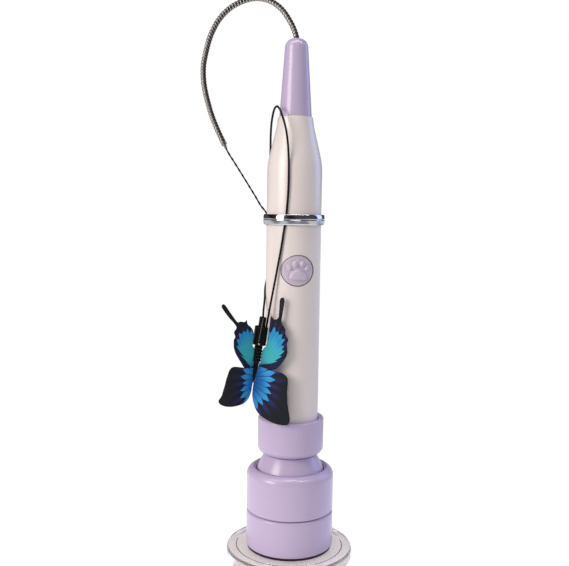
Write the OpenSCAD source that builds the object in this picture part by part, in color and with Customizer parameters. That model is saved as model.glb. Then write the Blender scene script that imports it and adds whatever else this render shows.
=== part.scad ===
// Electric butterfly teaser wand that stands in a swivelling holder on a clear suction foot.
// Millimetres. Origin: middle of the pad's underside. Z runs up the wand, and its front faces -Y.

/* [Suction pad] */
// Radius of the clear pad
pad_r = 35.5; // [33:0.5:42]
// Thickness of the pad
pad_t = 5.6; // [5:0.1:8]
// Radius of the moulded line on top of the pad
pad_line_r = 30; // [27:0.5:32]
// Radius of the raised middle that holds the pull stud
pad_boss_r = 11; // [10:0.5:13]
// Radius of the pull stud's rod
stud_r = 3; // [2.5:0.1:3.5]
// Rise of the pull stud in a quarter turn of the lock ring
stud_lift = 2.5; // [1:0.1:3]

/* [Lock ring and housing] */
// Outer radius of the lock ring and the housing
base_r = 24.5; // [23.5:0.1:28]
// Height of the lock ring
lock_h = 21.3; // [20:0.1:26]
// Dark seam between the lock ring and the housing
seam = 0.6; // [0.2:0.1:0.8]
// Height of the housing
housing_h = 23.8; // [22:0.1:30]
// Radius of the housing's rounded top edge
housing_round = 4.5; // [3:0.1:5]
// Wall of the lock ring and the housing
base_wall = 2.2; // [1.8:0.1:2.8]

/* [Neck and cup] */
// Radius of the neck's flange in the mouth of the housing
neck_flange_r = 18.7; // [17:0.1:18.8]
// Radius of the neck under the cup
neck_r = 14.4; // [13:0.1:15]
// Height of the neck above the housing
neck_rise = 7.6; // [5:0.1:10]
// Height of the cup
cup_h = 20.8; // [18:0.2:26]
// Thickness of the cup's floor
cup_floor = 3.6; // [3:0.1:5]
// Wall of the cup
cup_wall = 2.9; // [2:0.1:3.5]
// Free space between the cup and the wand
cup_gap = 0.5; // [0.3:0.1:1]

/* [Wand] */
// Outer radius of the barrel
barrel_r = 15; // [14.5:0.1:16.5]
// Wall of the barrel
barrel_wall = 1.8; // [1.4:0.1:2]
// Height of the end cap below the barrel
cap_h = 9.5; // [8:0.1:14]
// Height of the barrel from the end cap to the guide ring
barrel_h = 118; // [112:0.5:130]
// Height of the shoulder from the guide ring to the nose
shoulder_h = 55.3; // [54:0.1:62]
// Height of the straight part of the shoulder
shoulder_straight = 28; // [25:0.5:30]
// Radius at the top of the shoulder
shoulder_top_r = 9.5; // [9.3:0.1:10.5]
// Height of the nose
nose_h = 41.9; // [40:0.1:50]
// Radius of the nose at its foot
nose_r = 8.8; // [8.2:0.1:9.2]
// Radius of the nose below its rounded tip
nose_tip_r = 6.3; // [5.8:0.1:6.8]

/* [Paw button] */
// Radius of the button
button_r = 8.5; // [7.5:0.1:8.6]
// Height of the button's middle above the foot of the barrel
button_rise = 90.8; // [80:0.2:94]
// Turn of the button from the front
button_turn = 9.5; // [0:0.5:20]
// Dark groove round the button
button_gap = 0.35; // [0.2:0.05:0.6]
// Travel of the button
button_travel = 0.8; // [0.4:0.1:1]
// Depth of the button's face below the barrel's surface
button_sink = 0.45; // [0.3:0.05:0.8]
// Height of the paw print on the button
paw_relief = 0.4; // [0.2:0.05:0.4]

/* [Guide ring] */
// Free space between the ring and the barrel, where the wires pass
ring_gap = 1.25; // [1.2:0.05:2]
// Wall of the ring
ring_wall = 0.65; // [0.6:0.05:1]
// Height of the ring
ring_h = 5.6; // [4.6:0.1:7]

/* [Spring arm] */
// Outer diameter of the spring
spring_d = 3.1; // [2.6:0.1:3.4]
// Diameter of the spring's wire
spring_wire = 0.8; // [0.6:0.05:0.9]
// Rise of one curl
spring_pitch = 1.72; // [1.5:0.05:2.2]

/* [Wires] */
// Diameter of the black wire
wire_d = 0.9; // [0.7:0.05:0.9]

/* [Butterfly] */
// Radius of the clip's wide body
clip_r = 3.5; // [3:0.1:3.7]
// Radius of the ribbed abdomen
abdomen_r = 2.35; // [2:0.05:2.4]
// Thickness of one wing film
film_t = 0.4; // [0.3:0.05:0.6]
// Lift of the left wings towards the viewer
left_lift = 42; // [30:1:50]
// Lift of the right wings towards the viewer
right_lift = 22; // [18:1:30]
// Swing of the butterfly on its pin, its left wings towards the clip
swing_left = 8; // [4:0.5:12]
// Swing of the butterfly on its pin, its right wings towards the clip
swing_right = 4; // [2:0.5:10]
// Lean of the hanging butterfly
lean = 8; // [4:0.5:10]

/* [Hidden] */
$fn = 72;

// Clearances
run = 0.05;
slip = 0.1;
free = 0.3;
over = 1;
screw_room = 0.5;

// Pad and pull stud
pad_edge = 1.2;
pad_line_w = 0.7;
pad_line_depth = 0.35;
pad_boss_h = 5.4;
stud_seat = 2.6;
stud_flange_r = 8;
stud_flange_t = 2;
stud_key = 4.2;
z_pad_top = pad_t;
z_boss = z_pad_top + pad_boss_h;
z_stud0 = z_pad_top - stud_seat;

// Lock ring
z_lock0 = z_pad_top;
z_lock1 = z_lock0 + lock_h;
lock_bore = base_r - base_wall;
hub_r = 7;
web_t = 3;
hub_lift = 0.6;
hub_foot = 2.5;
hub_drop = 5.4;
z_hub0 = z_boss + hub_lift;
z_web0 = z_hub0 + hub_foot;
z_hub1 = z_lock1 - hub_drop;
edge_cut = 0.7;
lock_foot_cut = 1;

// Housing and its base plate
z_house0 = z_lock1 + seam;
z_house1 = z_house0 + housing_h;
spigot_h = 4;
plate_t = 3;
plate_r = lock_bore - slip;
guide_r = 6.5;
base_screw_r = 1.2;
base_screw_head_r = 2.8;
base_screw_head_h = 1.8;
base_screw_ring = 16.5;
base_boss_r = 3.2;
deck_t = 3;
deck_drop = 9.4;
z_deck1 = z_house1 - deck_drop;
z_deck0 = z_deck1 - deck_t;
base_screw_len = min(11, z_deck0 - z_house0 - 2 * screw_room);
mouth_gap = 0.4;
mouth_r = neck_flange_r + mouth_gap;
lip_t = 3;
z_stud_key0 = z_house0 - spigot_h - stud_lift - free;
stud_reach = 2.2;

// Neck, its washers and screw
stem_r = 8;
thrust_t = 1.2;
thrust_r = 12;
z_neck1 = z_house1 + neck_rise;
flange_drop = 1.5;
z_flange1 = z_house1 - flange_drop;
flange_t = 2.5;
flare_top = 1.1;
stem_washer_r = 10.5;
stem_washer_t = 1.2;
stem_play = 0.2;
z_stem0 = z_deck0 - stem_play;
stem_screw_r = 1.5;
stem_screw_head_r = 3.2;
stem_screw_head_h = 2;
stem_screw_len = 10;
z_screw_head0 = z_stem0 - stem_washer_t - stem_screw_head_h;
z_stud_key1 = min(z_house0 + plate_t + stud_reach, z_screw_head0 - stud_lift - free);

// Cup
cup_bore = barrel_r + cup_gap;
cup_r = cup_bore + cup_wall;
cup_foot_step = 1.1;
cup_foot_r = neck_r + cup_foot_step;
cup_foot_h = 4;
cup_rim = 0.9;
z_cup0 = z_neck1;
z_floor = z_cup0 + cup_floor;
z_cup1 = z_cup0 + cup_h;
cup_screw_ring = 9.5;
cup_screw_r = 1.2;
cup_screw_head_r = 2.6;
cup_screw_head_h = 1.7;
cup_screw_len = 9;

// Wand levels, from the cup's floor up
z_barrel0 = z_floor + cap_h;
cap_spigot_h = 6;
z_spigot1 = z_barrel0 + cap_spigot_h;
z_ring = z_barrel0 + barrel_h;
z_shoulder1 = z_ring + shoulder_h;
z_tip = z_shoulder1 + nose_h;
barrel_in = barrel_r - barrel_wall;
spigot_r = barrel_in - run;
cap_seat = 2;
z_cap_seat = z_barrel0 + cap_seat;
cap_edge = 1;

// Cells and contacts
cell_r = 5.25;
cell_len = 44.5;
cell_nub_r = 1.9;
cell_nub_h = 1;
cell_x = 5.8;
cell_lift = 1.8;
z_cell0 = z_spigot1 + cell_lift;
z_cell1 = z_cell0 + cell_len;
contact_t = 0.6;
contact_r = 4;
coil_r = 2.4;
carrier_top = 2;
carrier_half = 6.6;
z_carrier1 = z_cell1 + contact_t + carrier_top;

// Motor and gearbox, hung from a ledge in the shoulder
ledge_drop = 5.3;
z_ledge = z_shoulder1 - ledge_drop;
lid_t = 1.2;
case_h = 17;
case_r = 8.2;
case_wall = 0.6;
z_case0 = z_ledge - case_h;
motor_r = 6;
motor_h = 20;
z_motor0 = z_case0 - motor_h;
motor_boss_r = 2;
motor_shaft_r = 0.75;
disc_t = 3;
disc_r = 11.6;
ledge_r = 7;

// Chassis, circuit board and switch, measured towards the button from the wand's middle
chassis_w = 18;
chassis_y = 0.6;
chassis_t = 2;
board_y = chassis_y + chassis_t;
board_t = 1.6;
board_clear_low = 2.9;
board_clear_high = 7.2;
board_screw_r = 1;
board_screw_head_r = 1.9;
board_screw_head_h = 1.3;
board_screw_len = 3.4;
board_screw_in = 5;
switch_w = 6;
switch_y = board_y + board_t;
switch_h = 3;
plunger_r = 1.7;
plunger_out = 1;
plunger_seat = 0.8;
button_back = switch_y + switch_h + plunger_out;
button_flange_w = 0.9;
button_flange_r = button_r + button_flange_w;
button_flange_t = 0.8;
z_button = z_barrel0 + button_rise;
board_down = z_button - z_carrier1 - board_clear_low;
board_up = z_motor0 - disc_t - z_button - board_clear_high;
button_face_r = barrel_r - button_sink;

// Gear train: two equal stages of a small and a large gear
gear_m = 0.25;
small_teeth = 10;
large_teeth = 24;
pressure = 20;
tooth_add = 0.22;
tooth_ded = 0.33;
tooth_thin = 0.07;
gear_dist = gear_m * (small_teeth + large_teeth) / 2;
gear_t = 3;
gear_pin_r = 0.6;
shaft_r = 1.5;
stage_lift = 1.2;
stage_gap = 1.4;
z_stage1 = z_case0 + case_wall + stage_lift;
z_stage2 = z_stage1 + gear_t + stage_gap;
pinion_end = 0.5;
shaft_foot = 0.6;
shaft_seat = 2;

// Shoulder and nose
groove_depth = 0.7;
groove_r = barrel_r - groove_depth;
groove_h = 2;
spigot_wall = 1.4;
shoulder_in = spigot_r - spigot_wall;
shoulder_wall = 1.9;
curve_steps = 12;
nose_spigot_r = ledge_r - run;
nose_spigot_h = 4;
nose_round = 4.9;
nose_bore = 5;
nose_foot_bore = 6;
nose_wall_h = 6;
tip_play = 0.5;
tip_hole_r = spring_d / 2 + tip_play;
tip_arc = acos((tip_hole_r - nose_tip_r + nose_round) / nose_round);
z_nose_bore1 = z_tip - nose_wall_h;
bush_h = 7;
bush_drop = 4;
bore_step = 1;
spindle_r = 3;
bush_in = spindle_r + run;
spindle_h = 19;
spindle_drop = 1;
z_spindle1 = z_nose_bore1 - spindle_drop;
z_spindle0 = z_spindle1 - spindle_h;
z_bush0 = z_spindle1 - bush_drop - bush_h;
socket_depth = 8;
shaft_in = 6;
grub_r = 0.9;
grub_drop = 2;

// Guide ring
ring_in = barrel_r + ring_gap;
ring_out = ring_in + ring_wall;
lug_play = 0.2;
lug_h = groove_h - 2 * lug_play;
lug_turn = 14;
lug_first = 90;
lug_count = 3;
ring_line_depth = 0.25;
ring_line_turn = 10;
bead_foot = 0.3;
bead_step = 0.05;
bead_r0 = ring_in + bead_step;

// Spring arm: its middle line in the plane y = 0, from the hole in the nose's tip
arm_route = [
    [0, -8], [0, -4], [-0.1, 0], [-1.1, 3.6], [-3.3, 8.2], [-7.2, 14], [-11.7, 18],
    [-17, 20.3], [-23, 20.8], [-29.6, 19.1], [-36.5, 15.2], [-42.4, 8.8], [-46.7, 0.3],
    [-49.3, -9.4], [-50.3, -16], [-50.1, -23], [-48.9, -30], [-46.1, -40], [-42.7, -48.5], [-39, -56.2]
];
arm_steps = 8;
curl_rings = 8;
wire_sides = 6;
coil_mid = (spring_d - spring_wire) / 2;
core_rings = 32;
ferrule_in = 4;
ferrule_t = 1.2;
ferrule_lip = 1.6;
ferrule_wall = 0.4;

// Black line from the spring's end to the eye, from the middle height of the guide ring
line_route = [
    [-38.8, 0, 40.6], [-37.6, 0, 38.1], [-36.3, 0.1, 35.6], [-32, 0.7, 29], [-26.9, 1.5, 21],
    [-22.1, 2.3, 13.4], [-18.6, 3.1, 7.6], [-16.4, 3.5, 4.9], [-15.25, 3.7, 3.2], [-15.15, 3.8, 1.5],
    [-14.9, 4.8, -2], [-14.6, 7, -5], [-14.1, 9.2, -7.8], [-13.7, 10.3, -10], [-13.7, 10.3, -12]
];
eye_mid = [-12.1, 12, -13.5];
eye_bore_r = 0.9;
eye_wall = 0.8;
eye_t = 0.8;
sleeve_r = 0.9;
sleeve_h = 4.4;
sleeve_in = 2;

// Black loop that carries the butterfly, from the middle height of the guide ring
loop_route = [
    [-14.1, -13, -58], [-13.9, -13, -56.6], [-13, -13, -51], [-11.8, -13.3, -44], [-10.2, -13.7, -35],
    [-8.6, -14, -26], [-7, -14.4, -16.5], [-5.6, -14.7, -7], [-4.9, -14.9, -2.5], [-4.3, -15.1, 2.5],
    [-3.6, -15.3, 12], [-3.3, -15.4, 21], [-3.4, -15.4, 31], [-3.9, -15.3, 39], [-5, -14.6, 47],
    [-6.7, -12.8, 53.4], [-8.4, -10.4, 58], [-10.1, -8, 60.1], [-11.7, -5.2, 58.4], [-12.9, -2.5, 52.6],
    [-13.4, 0.6, 45.5], [-13.5, 4.6, 38], [-13.7, 6.7, 32], [-13.7, 7.7, 25], [-13.6, 7.8, 12],
    [-13.6, 7.8, 3], [-13.5, 8.1, -3.2], [-12.75, 10.6, -8], [-12.1, 12, -13.5], [-12.6, 11, -19.5],
    [-13.8, 8.2, -26], [-14.45, 5.9, -32.5], [-15.4, 2.3, -38], [-15.45, -2.7, -43.4], [-15.8, -7.3, -48],
    [-15.9, -11.2, -50], [-15.9, -12.8, -51.3], [-15.96, -13, -52.4]
];
cord_sides = 8;
cord_steps = 2;

// Butterfly: hung from the clip's pin, its own axis running down the body
pin_mid = [-17.95, -13, -66.8];
pin_r = 0.45;
collar_r = 1.8;
clip_top = 14.4;
clip_step = 9.2;
clip_foot = 0.9;
clip_top_r = 0.96 * clip_r;
clip_edge = 0.2;
clip_round = 0.6;
slot_w = 1.3;
slot_h = 2.6;
pin_in = 0.2;
tab_gap = 0.5;
tab_t = 0.9;
tab_r = 1.2;
tab_foot = 0.4;
ribs = 5;
rib_depth = 0.3;
abdomen_h = 9;
thorax_r = 1.4;
thorax_top = 2.5;
thorax_end = 6;
throat = 8;
head_r = 1.1;
body_len = 22.5;
z_body0 = -clip_foot - tab_gap;
z_abdomen1 = z_body0 - abdomen_h;
root_gap = 0.15;
hind_root = abdomen_r + root_gap;
fore_root = thorax_r + root_gap + run;
outline_steps = 3;

// Wing outlines: out from the body's axis, then down along it from the clip's pin
left_hind_outline = [
    [hind_root, 4], [4.4, -5.6], [7.2, -8.4], [10.4, -10.3], [11.5, -12.4], [12.6, -11.4], [15.3, -11.6],
    [17.6, -11.4], [22.5, -15.8], [27.3, -20.2], [28.7, -18.7], [23.7, -13.9], [17.7, -8.8], [18.5, -5.7],
    [17.4, -3.3], [17.7, -0.9], [16.4, 3], [13.6, 6.3], [9.8, 9.8], [6.3, 13], [fore_root, 14.2],
    [fore_root, 11.2], [hind_root, 9.6]
];
right_hind_outline = [
    [hind_root, 4], [4.5, -0.4], [4.2, -5.2], [3.9, -10.1], [4.1, -15.2], [5, -15.4], [6.8, -14.4],
    [8.9, -15.6], [8.7, -20], [8.2, -25.2], [9.4, -26.8], [10.8, -25.6], [10.9, -19], [11.1, -13.4],
    [13.9, -10.2], [14.1, -8], [16.3, -5.2], [16, -2.7], [17, 2], [16, 5.6], [14, 9.4], [11.4, 12.2],
    [8, 13.2], [fore_root, 13.4], [fore_root, 11.2], [hind_root, 9.6]
];
left_fore_outline = [
    [fore_root, 14.6], [7.5, 14.5], [13.9, 13.9], [16.4, 15.6], [17.4, 19.5], [18.3, 24.3], [19.4, 29.7],
    [21.3, 32.6], [20.2, 34.4], [17.4, 35.6], [13.3, 35.9], [9, 35.4], [4.6, 33.8], [1.9, 31],
    [0.8, 27.6], [0.7, 24], [fore_root, 20.8]
];
right_fore_outline = [
    [fore_root, 12.8], [7.8, 12.9], [13.1, 12.9], [16.8, 13.4], [19.2, 15], [20.1, 18.4], [20.5, 23.2],
    [22.1, 30.2], [24.1, 36.2], [24.2, 38.6], [22.9, 40], [20, 40.5], [15.7, 40], [11.1, 38.2],
    [7.6, 36], [4.8, 32.7], [2.4, 28.7], [0.8, 25], [fore_root, 20.8]
];

// Colours
lilac = "#CDB7DA";
pearl = "#F4ECE6";
clear = [0.86, 0.9, 0.9, 0.45];
steel = "#B9BCC0";
chrome = "#DADCE0";
black = "#17171A";
brass = "#C3A35A";
nylon = "#ECEAE2";
green = "#2F6B45";
teal = "#45B5C5";
blue = "#2F8FD8";

// Helpers
function arc(cx, cy, r, a0, a1, n = 6) =
    [for (i = [0 : n]) [cx + r * cos(a0 + (a1 - a0) * i / n), cy + r * sin(a0 + (a1 - a0) * i / n)]];
function blend(a, b, c, d, t) =
    0.5 * ((2 * b) + (c - a) * t + (2 * a - 5 * b + 4 * c - d) * t * t + (3 * b - a - 3 * c + d) * t * t * t);
function open_curve(p, n) = concat(
    [for (i = [0 : len(p) - 2], k = [0 : n - 1])
        blend(p[max(i - 1, 0)], p[i], p[i + 1], p[min(i + 2, len(p) - 1)], k / n)],
    [p[len(p) - 1]]);
function closed_curve(p, n) =
    let (c = len(p))
    [for (i = [0 : c - 1], k = [0 : n - 1])
        blend(p[(i + c - 1) % c], p[i], p[(i + 1) % c], p[(i + 2) % c], k / n)];
function unit(v) = v / norm(v);
function run_length(p) =
    [for (i = 0, c = 0; i < len(p); c = c + (i + 1 < len(p) ? norm(p[i + 1] - p[i]) : 0), i = i + 1) c];
function heading(p, i) = unit(p[min(i + 1, len(p) - 1)] - p[max(i - 1, 0)]);
function lifted(p, dz) = [for (q = p) q + [0, 0, dz]];

module turned(points) {
    rotate_extrude() polygon(points);
}

module post(r, z0, z1) {
    translate([0, 0, z0]) cylinder(r = r, h = z1 - z0);
}

module tube(r_out, r_in, z0, z1) {
    difference() {
        post(r_out, z0, z1);
        post(r_in, z0 - over, z1 + over);
    }
}

module on_ring(count, ring_r, first = 0) {
    for (k = [0 : count - 1]) rotate([0, 0, first + 360 * k / count]) translate([ring_r, 0, 0]) children();
}

// A tube through rings of points; the last side meets the first, and both ends are closed.
module skin(rings) {
    n = len(rings);
    m = len(rings[0]);
    points = [for (r = rings) each r];
    sides = [for (i = [0 : n - 2], k = [0 : m - 1]) each [
        [i * m + k, (i + 1) * m + k, i * m + (k + 1) % m],
        [i * m + (k + 1) % m, (i + 1) * m + k, (i + 1) * m + (k + 1) % m]]];
    first = [for (k = [1 : m - 2]) [0, k, k + 1]];
    last = [for (k = [1 : m - 2]) [(n - 1) * m, (n - 1) * m + k + 1, (n - 1) * m + k]];
    polyhedron(points = points, faces = concat(sides, first, last));
}

// A round cord along a route; side_ref is never along the cord.
cord_side_ref = [0.83, 0.56, 0];
module cord(route, d) {
    p = open_curve(route, cord_steps);
    skin([for (i = [0 : len(p) - 1])
        let (t = heading(p, i), u = unit(cross(cord_side_ref, t)), v = cross(t, u))
        [for (k = [0 : cord_sides - 1])
            let (b = 360 * k / cord_sides) p[i] + d / 2 * (cos(b) * u - sin(b) * v)]]);
}

// Spur gear outline with involute flanks, a tooth centred on +X.
function involute(a) = tan(a) * 180 / PI - a;
function flank(teeth, r) =
    let (rp = gear_m * teeth / 2, rb = rp * cos(pressure))
    90 / teeth - tooth_thin / (2 * rp) * 180 / PI + involute(pressure) - involute(acos(min(1, rb / r)));
module gear_outline(teeth) {
    rp = gear_m * teeth / 2;
    ra = rp + tooth_add;
    rf = rp - tooth_ded;
    r0 = max(rf, rp * cos(pressure));
    radii = [for (i = [0 : 4]) r0 + (ra - r0) * i / 4];
    rise = concat([[rf, flank(teeth, r0)]], [for (r = radii) [r, flank(teeth, r)]]);
    n = len(rise);
    polygon([for (k = [0 : teeth - 1], j = [0 : 2 * n - 1])
        let (q = j < n ? rise[j] : rise[2 * n - 1 - j], a = 360 * k / teeth + (j < n ? -q[1] : q[1]))
        [q[0] * cos(a), q[0] * sin(a)]]);
}

module at_button() {
    translate([0, 0, z_button]) rotate([0, 0, button_turn]) children();
}

// A round bar that runs towards the button from depth y0 to depth y1.
module front_bar(r, y0, y1, x = 0, z = 0) {
    translate([x, -y0, z]) rotate([90, 0, 0]) cylinder(r = r, h = y1 - y0);
}

module front_box(w, h, y0, y1) {
    translate([-w / 2, -y1, -h / 2]) cube([w, y1 - y0, h]);
}

module at_butterfly() {
    translate(pin_mid + [0, 0, z_ring]) rotate([0, lean, 0]) children();
}

// Foot
module suction_pad() {
    color(clear) difference() {
        union() {
            turned(concat([[0, 0], [pad_r - pad_edge / 2, 0], [pad_r, pad_edge / 2]],
                arc(pad_r - pad_edge, pad_t - pad_edge, pad_edge, 0, 90), [[0, pad_t]]));
            post(pad_boss_r, 0, z_boss);
        }
        tube(pad_line_r + pad_line_w / 2, pad_line_r - pad_line_w / 2, pad_t - pad_line_depth, pad_t + over);
        post(stud_flange_r + free, z_stud0, z_stud0 + stud_flange_t + stud_lift);
        post(stud_r + free, z_stud0, z_boss + over);
    }
}

module pull_stud() {
    color(steel) {
        post(stud_flange_r, z_stud0, z_stud0 + stud_flange_t);
        post(stud_r, z_stud0, z_stud_key0);
        translate([-stud_key / 2, -stud_key / 2, z_stud_key0 - over])
            cube([stud_key, stud_key, z_stud_key1 - z_stud_key0 + over]);
    }
}

module lock_ring() {
    color(lilac) difference() {
        union() {
            difference() {
                turned([[0, z_lock0], [base_r - lock_foot_cut, z_lock0], [base_r, z_lock0 + lock_foot_cut],
                    [base_r, z_lock1 - edge_cut], [base_r - edge_cut, z_lock1], [0, z_lock1]]);
                post(lock_bore, z_lock0 - over, z_web0);
                post(lock_bore, z_web0 + web_t, z_lock1 + over);
            }
            post(hub_r, z_hub0, z_hub1);
        }
        post(stud_r + run, z_hub0 - over, z_hub1 + over);
    }
}

module base_plate() {
    color(lilac) difference() {
        union() {
            post(plate_r, z_house0, z_house0 + plate_t);
            tube(plate_r, plate_r - base_wall, z_house0 - spigot_h, z_house0);
            post(guide_r, z_house0 - spigot_h, z_house0 + plate_t);
        }
        translate([-stud_key / 2 - slip, -stud_key / 2 - slip, 0])
            cube([stud_key + 2 * slip, stud_key + 2 * slip, z_house1]);
        on_ring(3, base_screw_ring) post(base_screw_r + run, z_house0 - over, z_house1);
    }
}

module base_screws() {
    color(steel) on_ring(3, base_screw_ring) {
        post(base_screw_head_r, z_house0 - base_screw_head_h, z_house0);
        post(base_screw_r, z_house0 - base_screw_head_h, z_house0 + base_screw_len);
    }
}

module base_housing() {
    color(lilac) difference() {
        union() {
            difference() {
                turned(concat([[0, z_house0], [base_r - edge_cut, z_house0], [base_r, z_house0 + edge_cut]],
                    arc(base_r - housing_round, z_house1 - housing_round, housing_round, 0, 90),
                    [[0, z_house1]]));
                post(lock_bore, z_house0 - over, z_deck0);
                post(lock_bore, z_deck1, z_house1 - lip_t - housing_round / 2);
                turned([[0, z_deck1 + over], [lock_bore, z_house1 - lip_t - housing_round / 2],
                    [mouth_r, z_house1 - lip_t], [mouth_r, z_house1 + over], [0, z_house1 + over]]);
            }
            on_ring(3, base_screw_ring) post(base_boss_r, z_house0 + plate_t, z_deck0 + deck_t / 2);
        }
        post(stem_r + run, z_deck0 - over, z_deck1 + over);
        on_ring(3, base_screw_ring)
            post(base_screw_r + run, z_house0, z_house0 + base_screw_len + screw_room);
    }
}

module thrust_washer() {
    color(nylon) tube(thrust_r, stem_r + free, z_deck1, z_deck1 + thrust_t);
}

// Swivelling holder
module neck() {
    flare_r = neck_flange_r - neck_r;
    flare_h = z_neck1 - flare_top - z_flange1;
    color(lilac) difference() {
        turned(concat([[0, z_stem0], [stem_r, z_stem0], [stem_r, z_deck1 + thrust_t],
            [thrust_r, z_deck1 + thrust_t], [thrust_r, z_flange1 - flange_t],
            [neck_flange_r, z_flange1 - flange_t], [neck_flange_r, z_flange1]],
            [for (a = [10 : 10 : 90]) [neck_flange_r - flare_r * (sin(a) + 1 - cos(a)) / 2,
                z_flange1 + flare_h * (1 - cos(a))]],
            [[neck_r, z_neck1], [0, z_neck1]]));
        post(stem_screw_r + run, z_stem0 - over, z_stem0 + stem_screw_len);
        on_ring(3, cup_screw_ring) post(cup_screw_r + run, z_neck1 - cup_screw_len, z_neck1 + over);
    }
}

module stem_washer() {
    color(steel) tube(stem_washer_r, stem_screw_r + run, z_stem0 - stem_washer_t, z_stem0);
}

module stem_screw() {
    z_head1 = z_stem0 - stem_washer_t;
    color(steel) {
        post(stem_screw_head_r, z_head1 - stem_screw_head_h, z_head1);
        post(stem_screw_r, z_head1 - stem_screw_head_h, z_stem0 + stem_screw_len - screw_room);
    }
}

module wand_cup() {
    color(lilac) difference() {
        turned(concat([[0, z_cup0], [cup_foot_r, z_cup0]],
            [for (a = [-80 : 16 : 0]) [cup_foot_r + (cup_r - cup_foot_r) * cos(a),
                z_cup0 + cup_foot_h * (1 + sin(a))]],
            arc(cup_r - cup_rim, z_cup1 - cup_rim, cup_rim, 0, 90),
            arc(cup_bore + cup_rim, z_cup1 - cup_rim, cup_rim, 90, 180),
            [[cup_bore, z_floor], [0, z_floor]]));
        on_ring(3, cup_screw_ring) {
            post(cup_screw_r + run, z_cup0 - over, z_cup1);
            post(cup_screw_head_r + run, z_floor - cup_screw_head_h - slip, z_cup1);
        }
    }
}

module cup_screws() {
    z_head1 = z_floor - slip;
    color(steel) on_ring(3, cup_screw_ring) {
        post(cup_screw_head_r, z_head1 - cup_screw_head_h, z_head1);
        post(cup_screw_r, z_neck1 - cup_screw_len + screw_room, z_head1);
    }
}

// Power end of the wand
module end_cap() {
    color(pearl) turned([[0, z_floor], [barrel_r - cap_edge, z_floor], [barrel_r, z_floor + cap_edge],
        [barrel_r, z_barrel0], [spigot_r, z_barrel0], [spigot_r, z_spigot1],
        [spigot_r - spigot_wall, z_spigot1], [spigot_r - spigot_wall, z_cap_seat], [0, z_cap_seat]]);
}

module bridge_contact() {
    color(brass) {
        post(cell_x + contact_r, z_cap_seat, z_cap_seat + contact_t);
        for (s = [-1, 1]) translate([s * cell_x, 0, 0]) post(coil_r, z_cap_seat, z_cell0);
    }
}

module cells() {
    color(steel) for (s = [-1, 1]) translate([s * cell_x, 0, 0]) {
        post(cell_r, z_cell0 + (s > 0 ? cell_nub_h : 0), z_cell1 - (s < 0 ? cell_nub_h : 0));
        post(cell_nub_r, z_cell0, z_cell1);
    }
}

module cell_carrier() {
    color(nylon) difference() {
        intersection() {
            post(barrel_in - free, z_spigot1, z_carrier1);
            translate([-barrel_r, -carrier_half, z_spigot1])
                cube([2 * barrel_r, 2 * carrier_half, z_carrier1]);
        }
        for (s = [-1, 1]) translate([s * cell_x, 0, 0])
            post(cell_r + slip, z_spigot1 - over, z_carrier1 - carrier_top);
    }
}

module top_contacts() {
    color(brass) for (s = [-1, 1]) translate([s * cell_x, 0, 0])
        post(contact_r, z_cell1, z_cell1 + contact_t);
}

// Barrel and what it holds
module barrel() {
    color(pearl) difference() {
        tube(barrel_r, barrel_in, z_barrel0, z_ring);
        tube(barrel_r + over, groove_r, z_ring - groove_h / 2, z_ring + over);
        at_button() front_bar(button_r + button_gap, 0, 2 * barrel_r);
    }
}

module chassis() {
    color(nylon) difference() {
        union() {
            rotate([0, 0, button_turn])
                translate([-chassis_w / 2, -chassis_y - chassis_t, z_carrier1])
                cube([chassis_w, chassis_t, z_motor0 - z_carrier1 - disc_t / 2]);
            post(disc_r, z_motor0 - disc_t, z_motor0);
        }
        post(motor_boss_r + slip, z_motor0 - disc_t / 2, z_motor0 + over);
        board_screw_places() front_bar(board_screw_r + run, 0, 2 * board_y);
    }
}

module board_screw_places() {
    for (z = [board_screw_in - board_down, board_up - board_screw_in])
        at_button() translate([0, 0, z]) children();
}

module circuit_board() {
    color(green) difference() {
        at_button() translate([0, 0, (board_up - board_down) / 2])
            front_box(chassis_w, board_up + board_down, board_y, board_y + board_t);
        board_screw_places() front_bar(board_screw_r + run, 0, 2 * switch_y);
    }
}

module board_screws() {
    color(steel) board_screw_places() {
        front_bar(board_screw_head_r, switch_y, switch_y + board_screw_head_h);
        front_bar(board_screw_r, switch_y - board_screw_len, switch_y + board_screw_head_h);
    }
}

module tact_switch() {
    color(black) at_button() difference() {
        front_box(switch_w, switch_w, switch_y, switch_y + switch_h);
        front_bar(plunger_r + run, switch_y + plunger_seat, switch_y + switch_h + over);
    }
}

module switch_plunger() {
    color(nylon) at_button()
        front_bar(plunger_r, switch_y + plunger_seat + slip + button_travel, button_back);
}

// Paw print in parts of the button's radius: across, up, half width, half height
paw_toes = [[-0.53, 0.17, 0.17, 0.24], [-0.17, 0.42, 0.17, 0.24], [0.29, 0.43, 0.17, 0.23],
    [0.6, 0.18, 0.16, 0.22]];
paw_pad = [[-0.52, -0.46], [-0.38, -0.12], [0.03, 0.12], [0.42, -0.1], [0.6, -0.42], [0.5, -0.65],
    [0.05, -0.66], [-0.4, -0.65]];
module paw_outline() {
    for (t = paw_toes) translate([t[0], t[1]] * button_r)
        polygon([for (a = [0 : 20 : 340]) [t[2] * cos(a), t[3] * sin(a)] * button_r]);
    polygon(closed_curve(paw_pad, 4) * button_r);
}

module paw_button() {
    color(lilac) {
        intersection() {
            at_button() front_bar(button_r, button_back, 2 * barrel_r);
            post(button_face_r, z_button - barrel_r, z_button + barrel_r);
        }
        at_button() front_bar(button_flange_r, button_back, button_back + button_flange_t);
        intersection() {
            at_button() rotate([90, 0, 0]) linear_extrude(height = 2 * barrel_r) paw_outline();
            tube(button_face_r + paw_relief, button_back + 2, z_button - barrel_r, z_button + barrel_r);
        }
    }
}

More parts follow.
